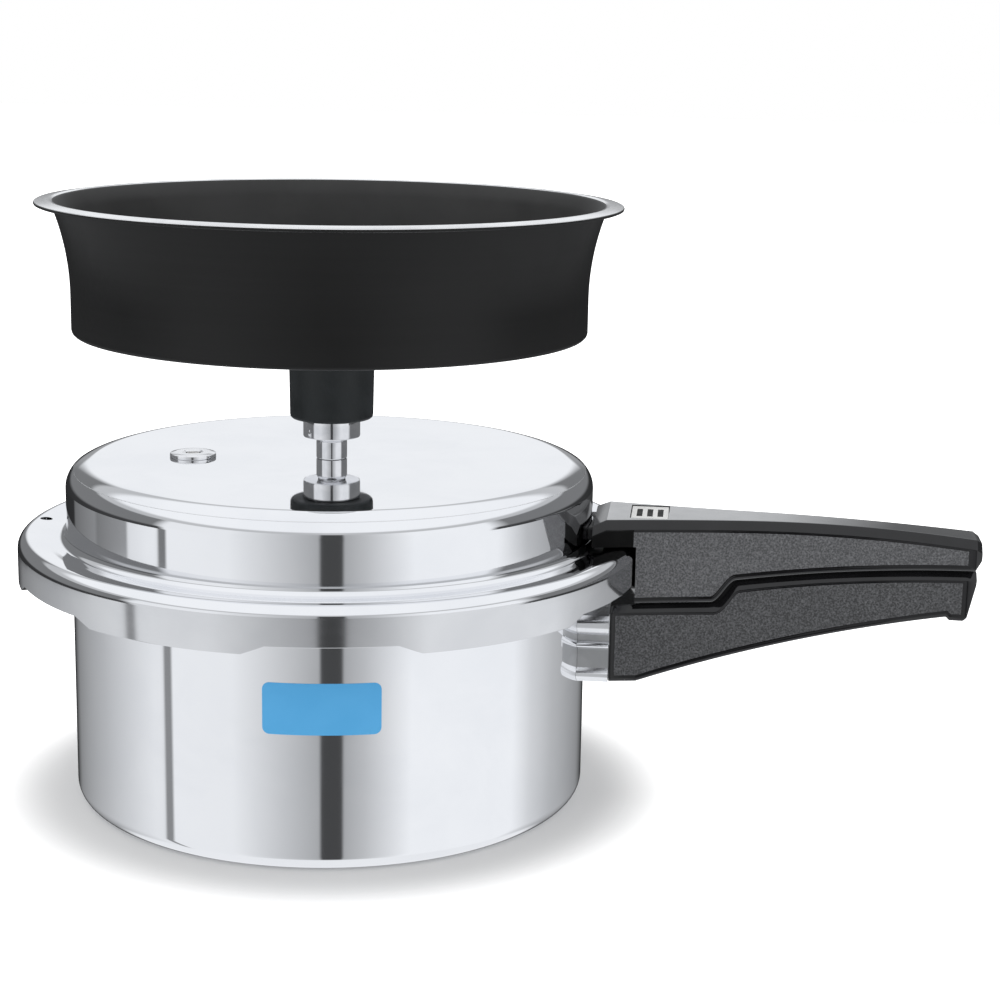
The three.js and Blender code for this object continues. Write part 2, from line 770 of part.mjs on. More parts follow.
// Weight: a heavy socket over the vent's tip, carried by the needle that closes the bore
function makeWeightBody() {
  const socket = ventNeckRadius + weightSocketGap;
  const hole = needleRadius + holeGap;
  return turned([
    point(0, needleTop + seatGap),
    point(hole, needleTop + seatGap),
    point(hole, weightSeat),
    point(socket, weightSeat),
    point(socket, weightBottom),
    point(weightRadius - weightEdge, weightBottom),
    point(weightRadius, weightBottom + weightEdge),
    point(weightRadius, weightTop - weightEdge),
    point(weightRadius - weightEdge, weightTop),
    point(weightStudRadius, weightTop),
    point(weightStudRadius, weightTop + weightStud),
    point(0, weightTop + weightStud),
  ]);
}

function makeWeightNeedle() {
  const tipRadius = ventBore - holeGap;
  return turned([
    point(0, ventTip - needleTip),
    point(tipRadius, ventTip - needleTip / 2),
    point(tipRadius, weightSeat),
    point(needleRadius, weightSeat),
    point(needleRadius, needleTop),
    point(0, needleTop),
  ], TINY);
}

function makeWeightCap() {
  const bottom = weightTop + seatGap;
  const top = bottom + weightCapHeight;
  const hole = weightStudRadius + holeGap;
  const holeTop = weightTop + weightStud + seatGap;
  return turned([
    point(0, holeTop),
    point(hole, holeTop),
    point(hole, bottom),
    point(weightCapRadius - weightCapEdge, bottom),
    point(weightCapRadius, bottom + weightCapEdge),
    ...arc(weightCapRadius - weightCapRound, top - weightCapRound, weightCapRound, 0, 90, 3),
    point(0, top),
  ]);
}

const polished = { color: 0xd9dadc, roughness: 0.12, metalness: 1 };
const steel = { color: 0xb9bcc0, roughness: 0.25, metalness: 1 };
const blackSteel = { color: 0x26272a, roughness: 0.4, metalness: 0.6 };
const brass = { color: 0xb08d4f, roughness: 0.35, metalness: 1 };
const bakelite = { color: 0x2a2a2c, roughness: 0.6, metalness: 0 };
const satinBlack = { color: 0x1b1b1c, roughness: 0.4, metalness: 0 };
const rubber = { color: 0x3a3a3a, roughness: 0.8, metalness: 0 };
const whitePlate = { color: 0xf2f2f0, roughness: 0.5, metalness: 0 };

function part(name, geometry, look) {
  const shape = closed(geometry);
  shape.computeVertexNormals();
  const mesh = new THREE.Mesh(shape, new THREE.MeshStandardMaterial(look));
  mesh.name = name;
  return mesh;
}

function rivetPart(name, y, z, wallInner, wallOuter) {
  return part(name, makeRivet(y, z, wallInner, wallOuter), steel);
}

const pot = new THREE.Group();
pot.add(part('pot_body', makePotBody(), polished));
pot.add(part('pot_bracket', makePotBracket(), polished));
rivetSides.forEach((y, i) => pot.add(rivetPart(`pot_rivet_${i + 1}`, y, potRivetZ, potInner, potRadius)));
pot.add(part('pot_handle', makePotHandle(), bakelite));
pot.add(part('pot_handle_screw', makeScrew(potScrewX, potScrewSeat, potTongueTop), steel));

const seal = new THREE.Group();
const gasket = ring(gasketInner, gasketInner + gasketWidth, gasketBottom, gasketTop, ROUND);
seal.add(part('sealing_ring', gasket, rubber));

const lid = new THREE.Group();
lid.add(part('lid_shell', makeLidShell(), polished));
lid.add(part('lid_bracket', makeLidBracket(), blackSteel));
rivetSides.forEach((y, i) => lid.add(rivetPart(`lid_rivet_${i + 1}`, y, lidRivetZ, lidInner, lidRadius)));
lid.add(part('lid_handle', makeLidHandle(), bakelite));
lid.add(part('lid_handle_screw', makeScrew(lidScrewX, lidScrewSeat, lidBracketTop), steel));
const plate = block(plateStart, plateEnd, plateHalf, lidHandleTopZ - plateThickness, lidHandleTopZ);
lid.add(part('lid_handle_plate', plate, whitePlate));
lid.add(part('vent_tube', makeVentTube(), steel));
lid.add(part('vent_nut', nut(ventSpigotRadius + holeGap, ventSpigotRadius + nutReach), steel));
lid.add(part('safety_plug', makeSafetyPlug(), steel));
lid.add(part('safety_plug_core', atPlug(disc(plugCoreRadius, nutBottom, lidSeat + plugHead)), brass));
const plugNut = nut(plugSpigotRadius + holeGap, plugSpigotRadius + nutReach);
lid.add(part('safety_plug_nut', atPlug(plugNut), steel));

const spillGuard = new THREE.Group();
const lockRingOuter = neckSpigotRadius + lockRingReach;
const lockRing = ring(neckSpigotRadius + holeGap, lockRingOuter, lockRingBottom, lockRingTop);
spillGuard.add(part('neck_bush', makeNeckBush(), steel));
spillGuard.add(part('spill_neck', makeSpillNeck(), satinBlack));
spillGuard.add(part('spill_bowl', makeSpillBowl(), satinBlack));
spillGuard.add(part('neck_lock_ring', lockRing, steel));

const weight = new THREE.Group();
weight.add(part('weight_body', makeWeightBody(), steel));
weight.add(part('weight_needle', makeWeightNeedle(), brass));
weight.add(part('weight_cap', makeWeightCap(), bakelite));

const cooker = new THREE.Group();
cooker.add(pot, seal, lid, spillGuard, weight);

export default cooker;
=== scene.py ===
from math import atan2, ceil, cos, degrees, hypot, pi, radians, sin, sqrt

import bmesh
import bpy
from mathutils import Matrix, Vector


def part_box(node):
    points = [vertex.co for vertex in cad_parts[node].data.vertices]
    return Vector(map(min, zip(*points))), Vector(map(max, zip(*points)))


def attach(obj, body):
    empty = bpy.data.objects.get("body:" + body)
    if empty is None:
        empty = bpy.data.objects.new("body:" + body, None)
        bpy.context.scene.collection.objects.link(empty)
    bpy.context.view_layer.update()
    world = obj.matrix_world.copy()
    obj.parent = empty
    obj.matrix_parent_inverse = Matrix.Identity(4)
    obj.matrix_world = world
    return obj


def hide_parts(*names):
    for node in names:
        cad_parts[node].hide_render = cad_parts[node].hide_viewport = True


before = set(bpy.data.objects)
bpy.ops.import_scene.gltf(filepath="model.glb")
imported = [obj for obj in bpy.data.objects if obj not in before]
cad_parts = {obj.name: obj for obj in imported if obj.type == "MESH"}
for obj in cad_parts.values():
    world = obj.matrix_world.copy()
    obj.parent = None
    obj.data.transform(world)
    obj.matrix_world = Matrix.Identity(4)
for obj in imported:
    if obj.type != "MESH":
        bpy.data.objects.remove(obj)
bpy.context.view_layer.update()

# Pot: spun aluminium with a thick flat base, mirror polished outside and left satin inside.
# Its rim is rolled outwards and carries six lugs, which hold the lid's lugs down.
mm = 0.001
pot_radius = 100 * mm
pot_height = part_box("pot_body")[1].z
pot_wall = 3 * mm
pot_floor = 4 * mm
pot_base_corner = 6 * mm
pot_inner_corner = 8 * mm
pot_inner = pot_radius - pot_wall
pot_lip = 0.8 * mm
rim_radius = 106 * mm
rim_under = pot_height - 3.2 * mm
rim_fillet = 4 * mm
pot_lug_radius = 116.5 * mm
pot_lug_half_angle = 13
pot_lug_edge = 0.5 * mm
lug_pitch = 60
first_lug = 10
dish_radius = 78 * mm
dish_depth = 0.5 * mm
large_facets = 180
square_on = 0.9
lug_sharp_angle = 60


def pick(piece, kind, test):
    """In edit mode, selects the verts, edges or faces that pass the test and nothing else."""
    bpy.ops.mesh.select_mode(type={"verts": "VERT", "edges": "EDGE", "faces": "FACE"}[kind])
    bpy.ops.mesh.select_all(action="DESELECT")
    mesh = bmesh.from_edit_mesh(piece.data)
    for item in getattr(mesh, kind):
        if test(item):
            item.select_set(True)
    bmesh.update_edit_mesh(piece.data)


def reach(point):
    """How far a point is from the cooker's axis."""
    return hypot(point.x, point.y)


def middle_of(face):
    """The middle of a face's corners."""
    return face.calc_center_median()


def on_ring(radius, height):
    """A test for the edges of one ring of a turned piece."""
    near = 0.01 * mm
    return lambda edge: all(
        abs(reach(v.co) - radius) < near and abs(v.co.z - height) < near for v in edge.verts
    )


def round_ring(piece, radius, height, corner):
    """Rounds a ring of edges, in steps of about half a millimetre."""
    step = 0.6 * mm
    pick(piece, "edges", on_ring(radius, height))
    bpy.ops.mesh.bevel(offset=corner, segments=max(2, min(10, ceil(corner / step))), profile=0.5)


def begin(name, add, **sizes):
    """Adds a primitive in edit mode, with nothing else selected, and names it."""
    bpy.ops.object.select_all(action="DESELECT")
    add(enter_editmode=True, **sizes)
    piece = bpy.context.object
    piece.name = name
    return piece


def turn(name, rings, facets, hollow=False):
    """Turns a piece on +Z: a circle is drawn through rings of (radius, height, corner).
    The ends are closed flat, or the last ring is joined to the first for a hollow piece."""
    radius, height = rings[0][:2]
    piece = begin(name, bpy.ops.mesh.primitive_circle_add, vertices=facets, radius=radius)
    half_step = pi / facets
    bpy.ops.transform.rotate(value=half_step, orient_axis="Z", center_override=(0, 0, 0))
    bpy.ops.transform.translate(value=(0, 0, height))
    for next_radius, next_height, _ in rings[1:]:
        bpy.ops.mesh.extrude_edges_move(
            TRANSFORM_OT_translate={"value": (0, 0, next_height - height)}
        )
        growth = next_radius / radius
        bpy.ops.transform.resize(value=(growth, growth, 1), center_override=(0, 0, next_height))
        radius, height = next_radius, next_height
    bpy.ops.mesh.select_mode(type="EDGE")
    bpy.ops.mesh.select_all(action="DESELECT")
    bpy.ops.mesh.select_non_manifold()
    if hollow:
        bpy.ops.mesh.bridge_edge_loops()
    else:
        bpy.ops.mesh.fill_holes(sides=0)
    bpy.ops.mesh.select_all(action="SELECT")
    bpy.ops.mesh.normals_make_consistent(inside=False)
    for ring_radius, ring_height, corner in rings:
        if corner:
            round_ring(piece, ring_radius, ring_height, corner)
    return piece


def off_lug(point):
    """Degrees from a point to the middle of the nearest bayonet lug."""
    turned = degrees(atan2(point.y, point.x)) - first_lug + lug_pitch / 2
    return abs(turned % lug_pitch - lug_pitch / 2)


def outward(face):
    """How far a face looks away from the axis, from -1 to 1."""
    middle = middle_of(face)
    return (face.normal.x * middle.x + face.normal.y * middle.y) / max(reach(middle), 0.1 * mm)


def apply(piece, kind, **settings):
    """Adds a modifier to a piece and applies it."""
    bpy.ops.object.select_all(action="DESELECT")
    piece.select_set(True)
    bpy.context.view_layer.objects.active = piece
    bpy.ops.object.modifier_add(type=kind)
    modifier = piece.modifiers[-1]
    for setting, value in settings.items():
        setattr(modifier, setting, value)
    bpy.ops.object.modifier_apply(modifier=modifier.name)


def smooth(piece, angle=32):
    """Leaves edit mode and shades curves smooth, with flat faces kept flat."""
    bpy.ops.object.mode_set(mode="OBJECT")
    bpy.ops.object.shade_smooth_by_angle(angle=radians(angle))
    apply(piece, "WEIGHTED_NORMAL", keep_sharp=True)


def coat(piece, material, test=None):
    """Gives a finish to the faces that pass the test, or to the whole piece."""
    piece.data.materials.append(material)
    if test:
        bpy.context.view_layer.objects.active = piece
        bpy.ops.object.mode_set(mode="EDIT")
        pick(piece, "faces", test)
        piece.active_material_index = len(piece.data.materials) - 1
        bpy.ops.object.material_slot_assign()
        bpy.ops.object.mode_set(mode="OBJECT")


def seat(piece, body, slot, *nodes):
    """Fixes a piece to its body, in place of the plain solids that it stands for."""
    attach(piece, body)
    if nodes:
        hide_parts(*nodes)


pot = turn("pot", [
    (dish_radius, dish_depth, 0),
    (dish_radius + dish_depth, 0, 0),
    (pot_radius, 0, pot_base_corner),
    (pot_radius, rim_under, rim_fillet),
    (rim_radius, rim_under, 0),
    (rim_radius, pot_height, 0),
    (pot_inner, pot_height, pot_lip),
    (pot_inner, pot_floor, pot_inner_corner),
    (pot_inner / 2, pot_floor, 0),
], large_facets)
pick(pot, "faces", lambda face: (
    outward(face) > square_on
    and reach(middle_of(face)) > rim_radius - mm
    and off_lug(middle_of(face)) < pot_lug_half_angle
))
bpy.ops.mesh.extrude_region_move()
lug_growth = pot_lug_radius / rim_radius
bpy.ops.transform.resize(value=(lug_growth, lug_growth, 1), center_override=(0, 0, pot_height))
pick(pot, "edges", lambda edge: (
    edge.is_manifold
    and edge.calc_face_angle() > radians(lug_sharp_angle)
    and all(reach(v.co) > rim_radius - mm for v in edge.verts)
))
bpy.ops.mesh.bevel(offset=pot_lug_edge, segments=2, profile=0.5)


def put(tree, kind, values=(), **settings):
    """Adds a shader node, with values on its sockets and settings on the node itself."""
    node = tree.nodes.new("ShaderNode" + kind)
    for setting, value in settings.items():
        setattr(node, setting, value)
    for socket, value in dict(values).items():
        node.inputs[socket].default_value = value
    return node


def wire(tree, *links):
    """Links nodes: each link names a node and its output, then a node and its input."""
    for source, outlet, target, inlet in links:
        tree.links.new(source.outputs[outlet], target.inputs[inlet])


def new_effect(name, output, **sizes):
    """A node group that reads a vector and its own sizes, and puts out one mask."""
    effect = bpy.data.node_groups.new(name, "ShaderNodeTree")
    effect.interface.new_socket("Vector", in_out="INPUT", socket_type="NodeSocketVector")
    for size, value in sizes.items():
        socket = effect.interface.new_socket(size, in_out="INPUT", socket_type="NodeSocketFloat")
        socket.default_value = value
    effect.interface.new_socket(output, in_out="OUTPUT", socket_type="NodeSocketFloat")
    inlet = effect.nodes.new("NodeGroupInput")
    outlet = effect.nodes.new("NodeGroupOutput")
    return effect, inlet, outlet


def placed(effect, centre=(0, 0, 0), **sizes):
    """An effect at its own sizes about a piece's centre, ready to go into a finish."""
    def put_in(tree):
        place = put(tree, "TexCoord")
        shift = put(tree, "Mapping", {"Location": centre}, vector_type="TEXTURE")
        group = put(tree, "Group", node_tree=effect)
        for size, value in sizes.items():
            group.inputs[size].default_value = value
        wire(tree, (place, "Object", shift, "Vector"), (shift, "Vector", group, "Vector"))
        return group.outputs[0]
    return put_in


def finish(name, colour, rough, bump=None, coat_weight=None, **constants):
    """A material whose colour, roughness and coat run between two ends as a mask goes from 0 to 1,
    and whose bump has a depth in metres. Each comes as a row that starts with its mask.
    A constant is set on the shader's own socket."""
    material = bpy.data.materials.new(name)
    material.use_nodes = True
    tree = material.node_tree
    shader = tree.nodes["Principled BSDF"]
    for socket, value in constants.items():
        shader.inputs[socket.replace("_", " ")].default_value = value
    used = dict.fromkeys(row[0] for row in (colour, rough, bump, coat_weight) if row)
    masks = {effect: effect(tree) for effect in used}
    effect, low, high = colour
    mix = put(tree, "Mix", {6: (*low, 1), 7: (*high, 1)}, data_type="RGBA")
    tree.links.new(masks[effect], mix.inputs[0])
    wire(tree, (mix, 2, shader, "Base Color"))
    for socket, row in (("Roughness", rough), ("Coat Weight", coat_weight)):
        if row:
            effect, low, high = row
            span = put(tree, "MapRange", {"To Min": low, "To Max": high})
            tree.links.new(masks[effect], span.inputs["Value"])
            wire(tree, (span, "Result", shader, socket))
    if bump:
        effect, depth = bump
        relief = put(tree, "Bump", {"Strength": 1, "Distance": depth})
        tree.links.new(masks[effect], relief.inputs["Height"])
        wire(tree, (relief, "Normal", shader, "Normal"))
    return material


# Fine rings left by the lathe: noise over radius and height, nearly constant round the axis
turning_lines, inlet, outlet = new_effect("turning_lines", "Lines", Density=400.0)
split = put(turning_lines, "SeparateXYZ")
flat = put(turning_lines, "CombineXYZ")
arm = put(turning_lines, "VectorMath", operation="LENGTH")
rings = put(turning_lines, "CombineXYZ")
scaled = put(turning_lines, "VectorMath", operation="SCALE")
noise = put(turning_lines, "TexNoise", {"Scale": 1, "Detail": 5, "Roughness": 0.6})
slow = put(turning_lines, "Math", {1: 0.02}, operation="MULTIPLY")
wire(
    turning_lines, (inlet, "Vector", split, 0), (split, "X", flat, "X"), (split, "Y", flat, "Y"),
    (flat, 0, arm, 0), (split, "X", slow, 0), (arm, "Value", rings, "X"), (split, "Z", rings, "Y"),
    (slow, 0, rings, "Z"), (rings, 0, scaled, 0), (inlet, "Density", scaled, "Scale"),
    (scaled, 0, noise, "Vector"), (noise, "Fac", outlet, "Lines"),
)

# Faint cloudy marks from handling: soft noise with its middle values spread out
handling, inlet, outlet = new_effect("handling_marks", "Marks", Scale=30.0)
noise = put(handling, "TexNoise", {"Detail": 4, "Roughness": 0.55, "Distortion": 0.4})
spread = put(handling, "MapRange", {"From Min": 0.35, "From Max": 0.7}, interpolation_type="SMOOTHSTEP")
wire(
    handling, (inlet, "Vector", noise, "Vector"), (inlet, "Scale", noise, "Scale"),
    (noise, "Fac", spread, "Value"), (spread, "Result", outlet, "Marks"),
)

marks = placed(handling, Scale=24.0)
lines = placed(turning_lines, Density=500.0)
polished = finish(
    "polished_aluminium", (marks, (0.90, 0.905, 0.92), (0.86, 0.868, 0.888)), (marks, 0.03, 0.06),
    (lines, 0.0012 * mm), Metallic=1.0,
)

marks = placed(handling, Scale=40.0)
lines = placed(turning_lines, Density=900.0)
satin = finish(
    "satin_aluminium", (lines, (0.70, 0.705, 0.715), (0.80, 0.805, 0.815)), (marks, 0.3, 0.42),
    (lines, 0.02 * mm), Metallic=1.0,
)

smooth(pot)
coat(pot, polished)
coat(pot, satin, lambda face: (
    reach(middle_of(face)) < pot_inner + 0.2 * mm
    and middle_of(face).z > pot_floor / 2
))
coat(pot, satin, lambda face: face.normal.z < -square_on and middle_of(face).z < mm)
seat(pot, "pot", "polished_aluminium", "pot_body")

# Sticker: a blank oblong of blue vinyl with rounded corners, stuck to the front of the pot.
# It is flat cut, laid on the wall and follows its curve.
camera_bearing = 10
sticker_bearing = radians(camera_bearing - 2)
sticker_width = 42 * mm
sticker_height = 19 * mm
sticker_middle = 61.3 * mm
sticker_corner = 2.5 * mm
sticker_thickness = 0.12 * mm
sticker_strips = 28
sticker_corner_steps = 5
sticker_stand_off = 3 * mm

sticker = begin("pot_sticker", bpy.ops.mesh.primitive_plane_add, size=1)
bpy.ops.transform.resize(value=(sticker_width, sticker_height, 1), center_override=(0, 0, 0))
bpy.ops.mesh.bevel(affect="VERTICES", offset=sticker_corner, segments=sticker_corner_steps, profile=0.5)
for i in range(1, sticker_strips):
    bpy.ops.mesh.select_all(action="SELECT")
    cut_x = sticker_width * (i / sticker_strips - 0.5)
    bpy.ops.mesh.bisect(plane_co=(cut_x, 0, 0), plane_no=(1, 0, 0))
bpy.ops.object.mode_set(mode="OBJECT")
sticker.rotation_euler = (pi / 2, 0, sticker_bearing)
front = pot_radius + sticker_stand_off
sticker.location = (front * sin(sticker_bearing), -front * cos(sticker_bearing), sticker_middle)
bpy.context.view_layer.update()
apply(
    sticker, "SHRINKWRAP", target=pot, wrap_method="PROJECT", use_project_z=True,
    use_positive_direction=False, use_negative_direction=True, offset=sticker_thickness / 2,
)
bpy.ops.object.transform_apply(location=True, rotation=True, scale=True)
apply(sticker, "SOLIDIFY", thickness=sticker_thickness, offset=0)
smooth(sticker)

marks = placed(handling, Scale=60.0)
blue_vinyl = finish(
    "blue_vinyl", (marks, (0.093, 0.43, 0.81), (0.101, 0.446, 0.83)), (marks, 0.32, 0.42),
    (marks, 0.01 * mm), Specular_IOR_Level=0.35,
)
coat(sticker, blue_vinyl)
seat(sticker, "pot", "white_plate")

# Pot bracket: an aluminium extrusion with ribbed sides, cut to length and curved to the wall.
# Two rivets hold it to the pot, and its tongue runs into the lower handle.
bracket_low, bracket_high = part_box("pot_bracket")
bracket_groove = 16.7 * mm
bracket_rib = 1.8 * mm
bracket_ribs = [5.5 * mm, 7.4 * mm, 3.4 * mm, 2.4 * mm, 7.6 * mm]
rib_steps = 6
bracket_inner = 97 * mm
pot_handle_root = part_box("pot_handle")[0].x
bracket_outer = pot_handle_root - 0.3 * mm
fit_gap = 0.3 * mm
tongue_low = bracket_low.z + 12.5 * mm
tongue_height = 8 * mm
tongue_half = 9 * mm
tongue_edge = 0.8 * mm
tongue_overlap = 2 * mm
bracket_seat_gap = 0.05 * mm


def bar(name, x0, x1, half, z0, z1, edge=0.0):
    """A bar along X with its edges rounded."""
    piece = begin(name, bpy.ops.mesh.primitive_cube_add, size=1)
    bpy.ops.transform.resize(value=(x1 - x0, 2 * half, z1 - z0), center_override=(0, 0, 0))
    bpy.ops.transform.translate(value=((x0 + x1) / 2, 0, (z0 + z1) / 2))
    if edge:
        bpy.ops.mesh.bevel(offset=edge, segments=3, profile=0.5)
    bpy.ops.object.mode_set(mode="OBJECT")
    return piece


def rod(name, radius, z0, z1, facets):
    """A plain round cutter on +Z."""
    piece = turn(name, [(radius, z0, 0), (radius, z1, 0)], facets)
    bpy.ops.object.mode_set(mode="OBJECT")
    return piece


def carve(piece, cutter):
    """Cuts a shape out of a piece and throws the cutter away."""
    apply(piece, "BOOLEAN", object=cutter, operation="DIFFERENCE", solver="EXACT")
    bpy.data.objects.remove(cutter)


def weld(piece, *others):
    """Joins other meshes to a piece."""
    bpy.ops.object.select_all(action="DESELECT")
    for other in (piece, *others):
        other.select_set(True)
    bpy.context.view_layer.objects.active = piece
    bpy.ops.object.join()


bracket = begin("pot_bracket_ribbed", bpy.ops.mesh.primitive_plane_add, size=1)
bracket_length = bracket_outer - bracket_inner
bpy.ops.transform.resize(value=(bracket_length, 2 * bracket_groove, 1), center_override=(0, 0, 0))
bpy.ops.transform.translate(value=(bracket_inner + bracket_length / 2, 0, bracket_low.z))
half = bracket_groove
height = bracket_low.z
for i, rib in enumerate(bracket_ribs):
    bulge = bracket_rib if i % 2 == 0 else 0
    for step in range(1, rib_steps + 1):
        share = step / rib_steps
        next_half = bracket_groove + bulge * sin(pi * share)
        bpy.ops.mesh.extrude_region_move(TRANSFORM_OT_translate={"value": (0, 0, rib / rib_steps)})
        height += rib / rib_steps
        bpy.ops.transform.resize(value=(1, next_half / half, 1), center_override=(0, 0, height))
        half = next_half
bpy.ops.mesh.select_all(action="SELECT")
bpy.ops.mesh.normals_make_consistent(inside=False)
bpy.ops.object.mode_set(mode="OBJECT")
carve(bracket, rod("wall_cutter", pot_radius + bracket_seat_gap, 0, 2 * pot_height, large_facets))
bracket_tongue = bar(
    "bracket_tongue", bracket_outer - tongue_overlap, bracket_high.x, tongue_half,
    tongue_low, tongue_low + tongue_height, tongue_edge,
)
weld(bracket, bracket_tongue)
smooth(bracket)


def drawing_lines(tree):
    """Lines along X left by the die: noise that is stretched along the bracket."""
    place = put(tree, "TexCoord")
    stretch = put(tree, "Mapping", {"Scale": (40, 900, 900)})
    noise = put(tree, "TexNoise", {"Scale": 1, "Detail": 4, "Roughness": 0.6})
    wire(tree, (place, "Object", stretch, "Vector"), (stretch, "Vector", noise, "Vector"))
    return noise.outputs["Fac"]


marks = placed(handling, Scale=50.0)
drawn = finish(
    "drawn_aluminium", (marks, (0.88, 0.885, 0.9), (0.82, 0.828, 0.845)),
    (drawing_lines, 0.12, 0.24), (drawing_lines, 0.003 * mm), Metallic=1.0,
)
coat(bracket, drawn)

# Painted shade: the bracket's rib grooves get a darker grey aluminium, so that they read as shaded
# recesses.
marks = placed(handling, Scale=80.0)
recess_shade = finish(
    "recess_painted_shade_aluminium", (marks, (0.52, 0.525, 0.53), (0.44, 0.445, 0.45)), (marks, 0.3, 0.42),
    (marks, 0.01 * mm), Metallic=1.0,
)
coat(bracket, recess_shade, lambda face: (
    abs(abs(middle_of(face).y) - bracket_groove) < bracket_rib / 5
    and middle_of(face).x < bracket_outer
))
seat(bracket, "pot", "polished_aluminium", "pot_bracket")

# Rivets: two turned steel rivets through the pot's wall, with domed heads inside.
# Their shanks are set blind in the bracket.
rivet_radius = 1.8 * mm
rivet_head_radius = 3.4 * mm
rivet_head = 1.5 * mm

marks = placed(handling, Scale=120.0)
lines = placed(turning_lines, Density=1600.0)
turned_steel = finish(
    "turned_steel", (marks, (0.80, 0.80, 0.81), (0.68, 0.685, 0.70)), (lines, 0.1, 0.24),
    (lines, 0.004 * mm), Metallic=1.0,
)


def settle(piece, place):
    """Moves a piece to its place and works its move and turn into its mesh."""
    bpy.ops.object.select_all(action="DESELECT")
    piece.select_set(True)
    piece.location = place
    bpy.ops.object.transform_apply(location=True, rotation=True, scale=True)


def rivet(name, node, body):
    """A rivet along X in the place of its plain solid."""
    low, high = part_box(node)
    piece = turn(name, [
        (rivet_head_radius * 0.3, low.x, 0),
        (rivet_head_radius * 0.75, low.x + rivet_head * 0.2, 0),
        (rivet_head_radius, low.x + rivet_head * 0.7, 0),
        (rivet_head_radius, low.x + rivet_head, 0.2 * mm),
        (rivet_radius, low.x + rivet_head, 0),
        (rivet_radius, high.x, 0.3 * mm),
    ], 40)
    smooth(piece, 50)
    piece.rotation_euler = (0, pi / 2, 0)
    settle(piece, (0, (low.y + high.y) / 2, (low.z + high.z) / 2))
    coat(piece, turned_steel)
    seat(piece, body, "steel", node)


rivet("pot_rivet_left", "pot_rivet_1", "pot")
rivet("pot_rivet_right", "pot_rivet_2", "pot")

# Pot handle: the lower half of the grip, moulded in charcoal bakelite over the bracket's tongue.
# Its sides are sunk grained panels between smooth bevels, and its top follows the seam.
flange_radius = 120.5 * mm
lug_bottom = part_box("lid_shell")[0].z
grip_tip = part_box("lid_handle")[1].x
grip_root_half = 19.5 * mm
grip_waist_half = 9.5 * mm
grip_waist = flange_radius + 91.5 * mm
grip_tip_inset = 1.5 * mm
step_start = flange_radius + 28.4 * mm
step_end = step_start + 9.5 * mm
seam_root = lug_bottom - 4.3 * mm
seam_step_low = lug_bottom - 3.6 * mm
seam_step_high = lug_bottom + 5.2 * mm
seam_tip = lug_bottom + 12.1 * mm
seam_arch = 1.3 * mm
seam_gap = 0.9 * mm
seam_shift = 1.2 * mm
pot_grip_low, pot_grip_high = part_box("pot_handle")
heel_end = pot_handle_root + 10.4 * mm
hook_end = pot_grip_high.x - 3 * mm
belly_end = hook_end - 7.8 * mm
hook_height = lug_bottom - 6.4 * mm
hook_drop = 1.3 * mm
belly_arch = 2.1 * mm
end_rise = 12.5 * mm
panel_border = 1.0 * mm
panel_depth = 0.35 * mm
panel_flatness = 0.975
level_lean = 0.15
side_lean = 0.8
grip_sharp_angle = 34
grip_short_edge = 0.6 * mm
grip_rounding = 0.35 * mm
pot_grip_top_bevel = 2.6 * mm
pot_grip_low_bevel = 1.6 * mm
root_step = 1.2 * mm


def arch(x, x0, z0, x1, z1, rise):
    """A shallow arch between two points, that much above the straight line at its middle."""
    share = (x - x0) / (x1 - x0)
    return z0 + (z1 - z0) * share + 4 * rise * share * (1 - share)


def ease(x, x0, z0, x1, z1):
    """A soft S between two levels."""
    share = min(1, max(0, (x - x0) / (x1 - x0)))
    return z0 + (z1 - z0) * share * share * (3 - 2 * share)


def grip_half(x):
    """Half the grip's width, which narrows to a waist and widens again towards the tip."""
    share = (x - grip_waist) / (pot_handle_root - grip_waist)
    return grip_waist_half + (grip_root_half - grip_waist_half) * share ** 2


def seam(x):
    """The seam between the grip's halves: a nearly level run, a soft step and an arch to the tip."""
    if x > step_end:
        return arch(x, step_end, seam_step_high, grip_tip, seam_tip, seam_arch)
    run = arch(x, pot_handle_root, seam_root, step_start, seam_step_low, 0)
    return ease(x, step_start, run, step_end, seam_step_high)


def draw_out(name, stations):
    """Draws a bar out along +X through stations of (x, underside, top, half width)."""
    piece = begin(name, bpy.ops.mesh.primitive_plane_add, size=1)
    x, low, high, half = stations[0]
    bpy.ops.transform.rotate(value=pi / 2, orient_axis="Y", center_override=(0, 0, 0))
    bpy.ops.transform.resize(value=(1, 2 * half, high - low), center_override=(0, 0, 0))
    middle = (low + high) / 2
    bpy.ops.transform.translate(value=(x, 0, middle))
    for next_x, next_low, next_high, next_half in stations[1:]:
        next_middle = (next_low + next_high) / 2
        bpy.ops.mesh.extrude_region_move(
            TRANSFORM_OT_translate={"value": (next_x - x, 0, next_middle - middle)}
        )
        bpy.ops.transform.resize(
            value=(1, next_half / half, (next_high - next_low) / (high - low)),
            center_override=(next_x, 0, next_middle),
        )
        x, low, high, half, middle = next_x, next_low, next_high, next_half, next_middle
    bpy.ops.mesh.select_all(action="SELECT")
    bpy.ops.mesh.normals_make_consistent(inside=False)
    return piece


def long_edge(up):
    """A test for the edges between a grip's sides and its top (up 1) or underside (up -1)."""
    def test(edge):
        if len(edge.link_faces) != 2:
            return False
        level, side = sorted(edge.link_faces, key=lambda face: abs(face.normal.y))
        return up * level.normal.z > level_lean and abs(side.normal.y) > side_lean
    return test


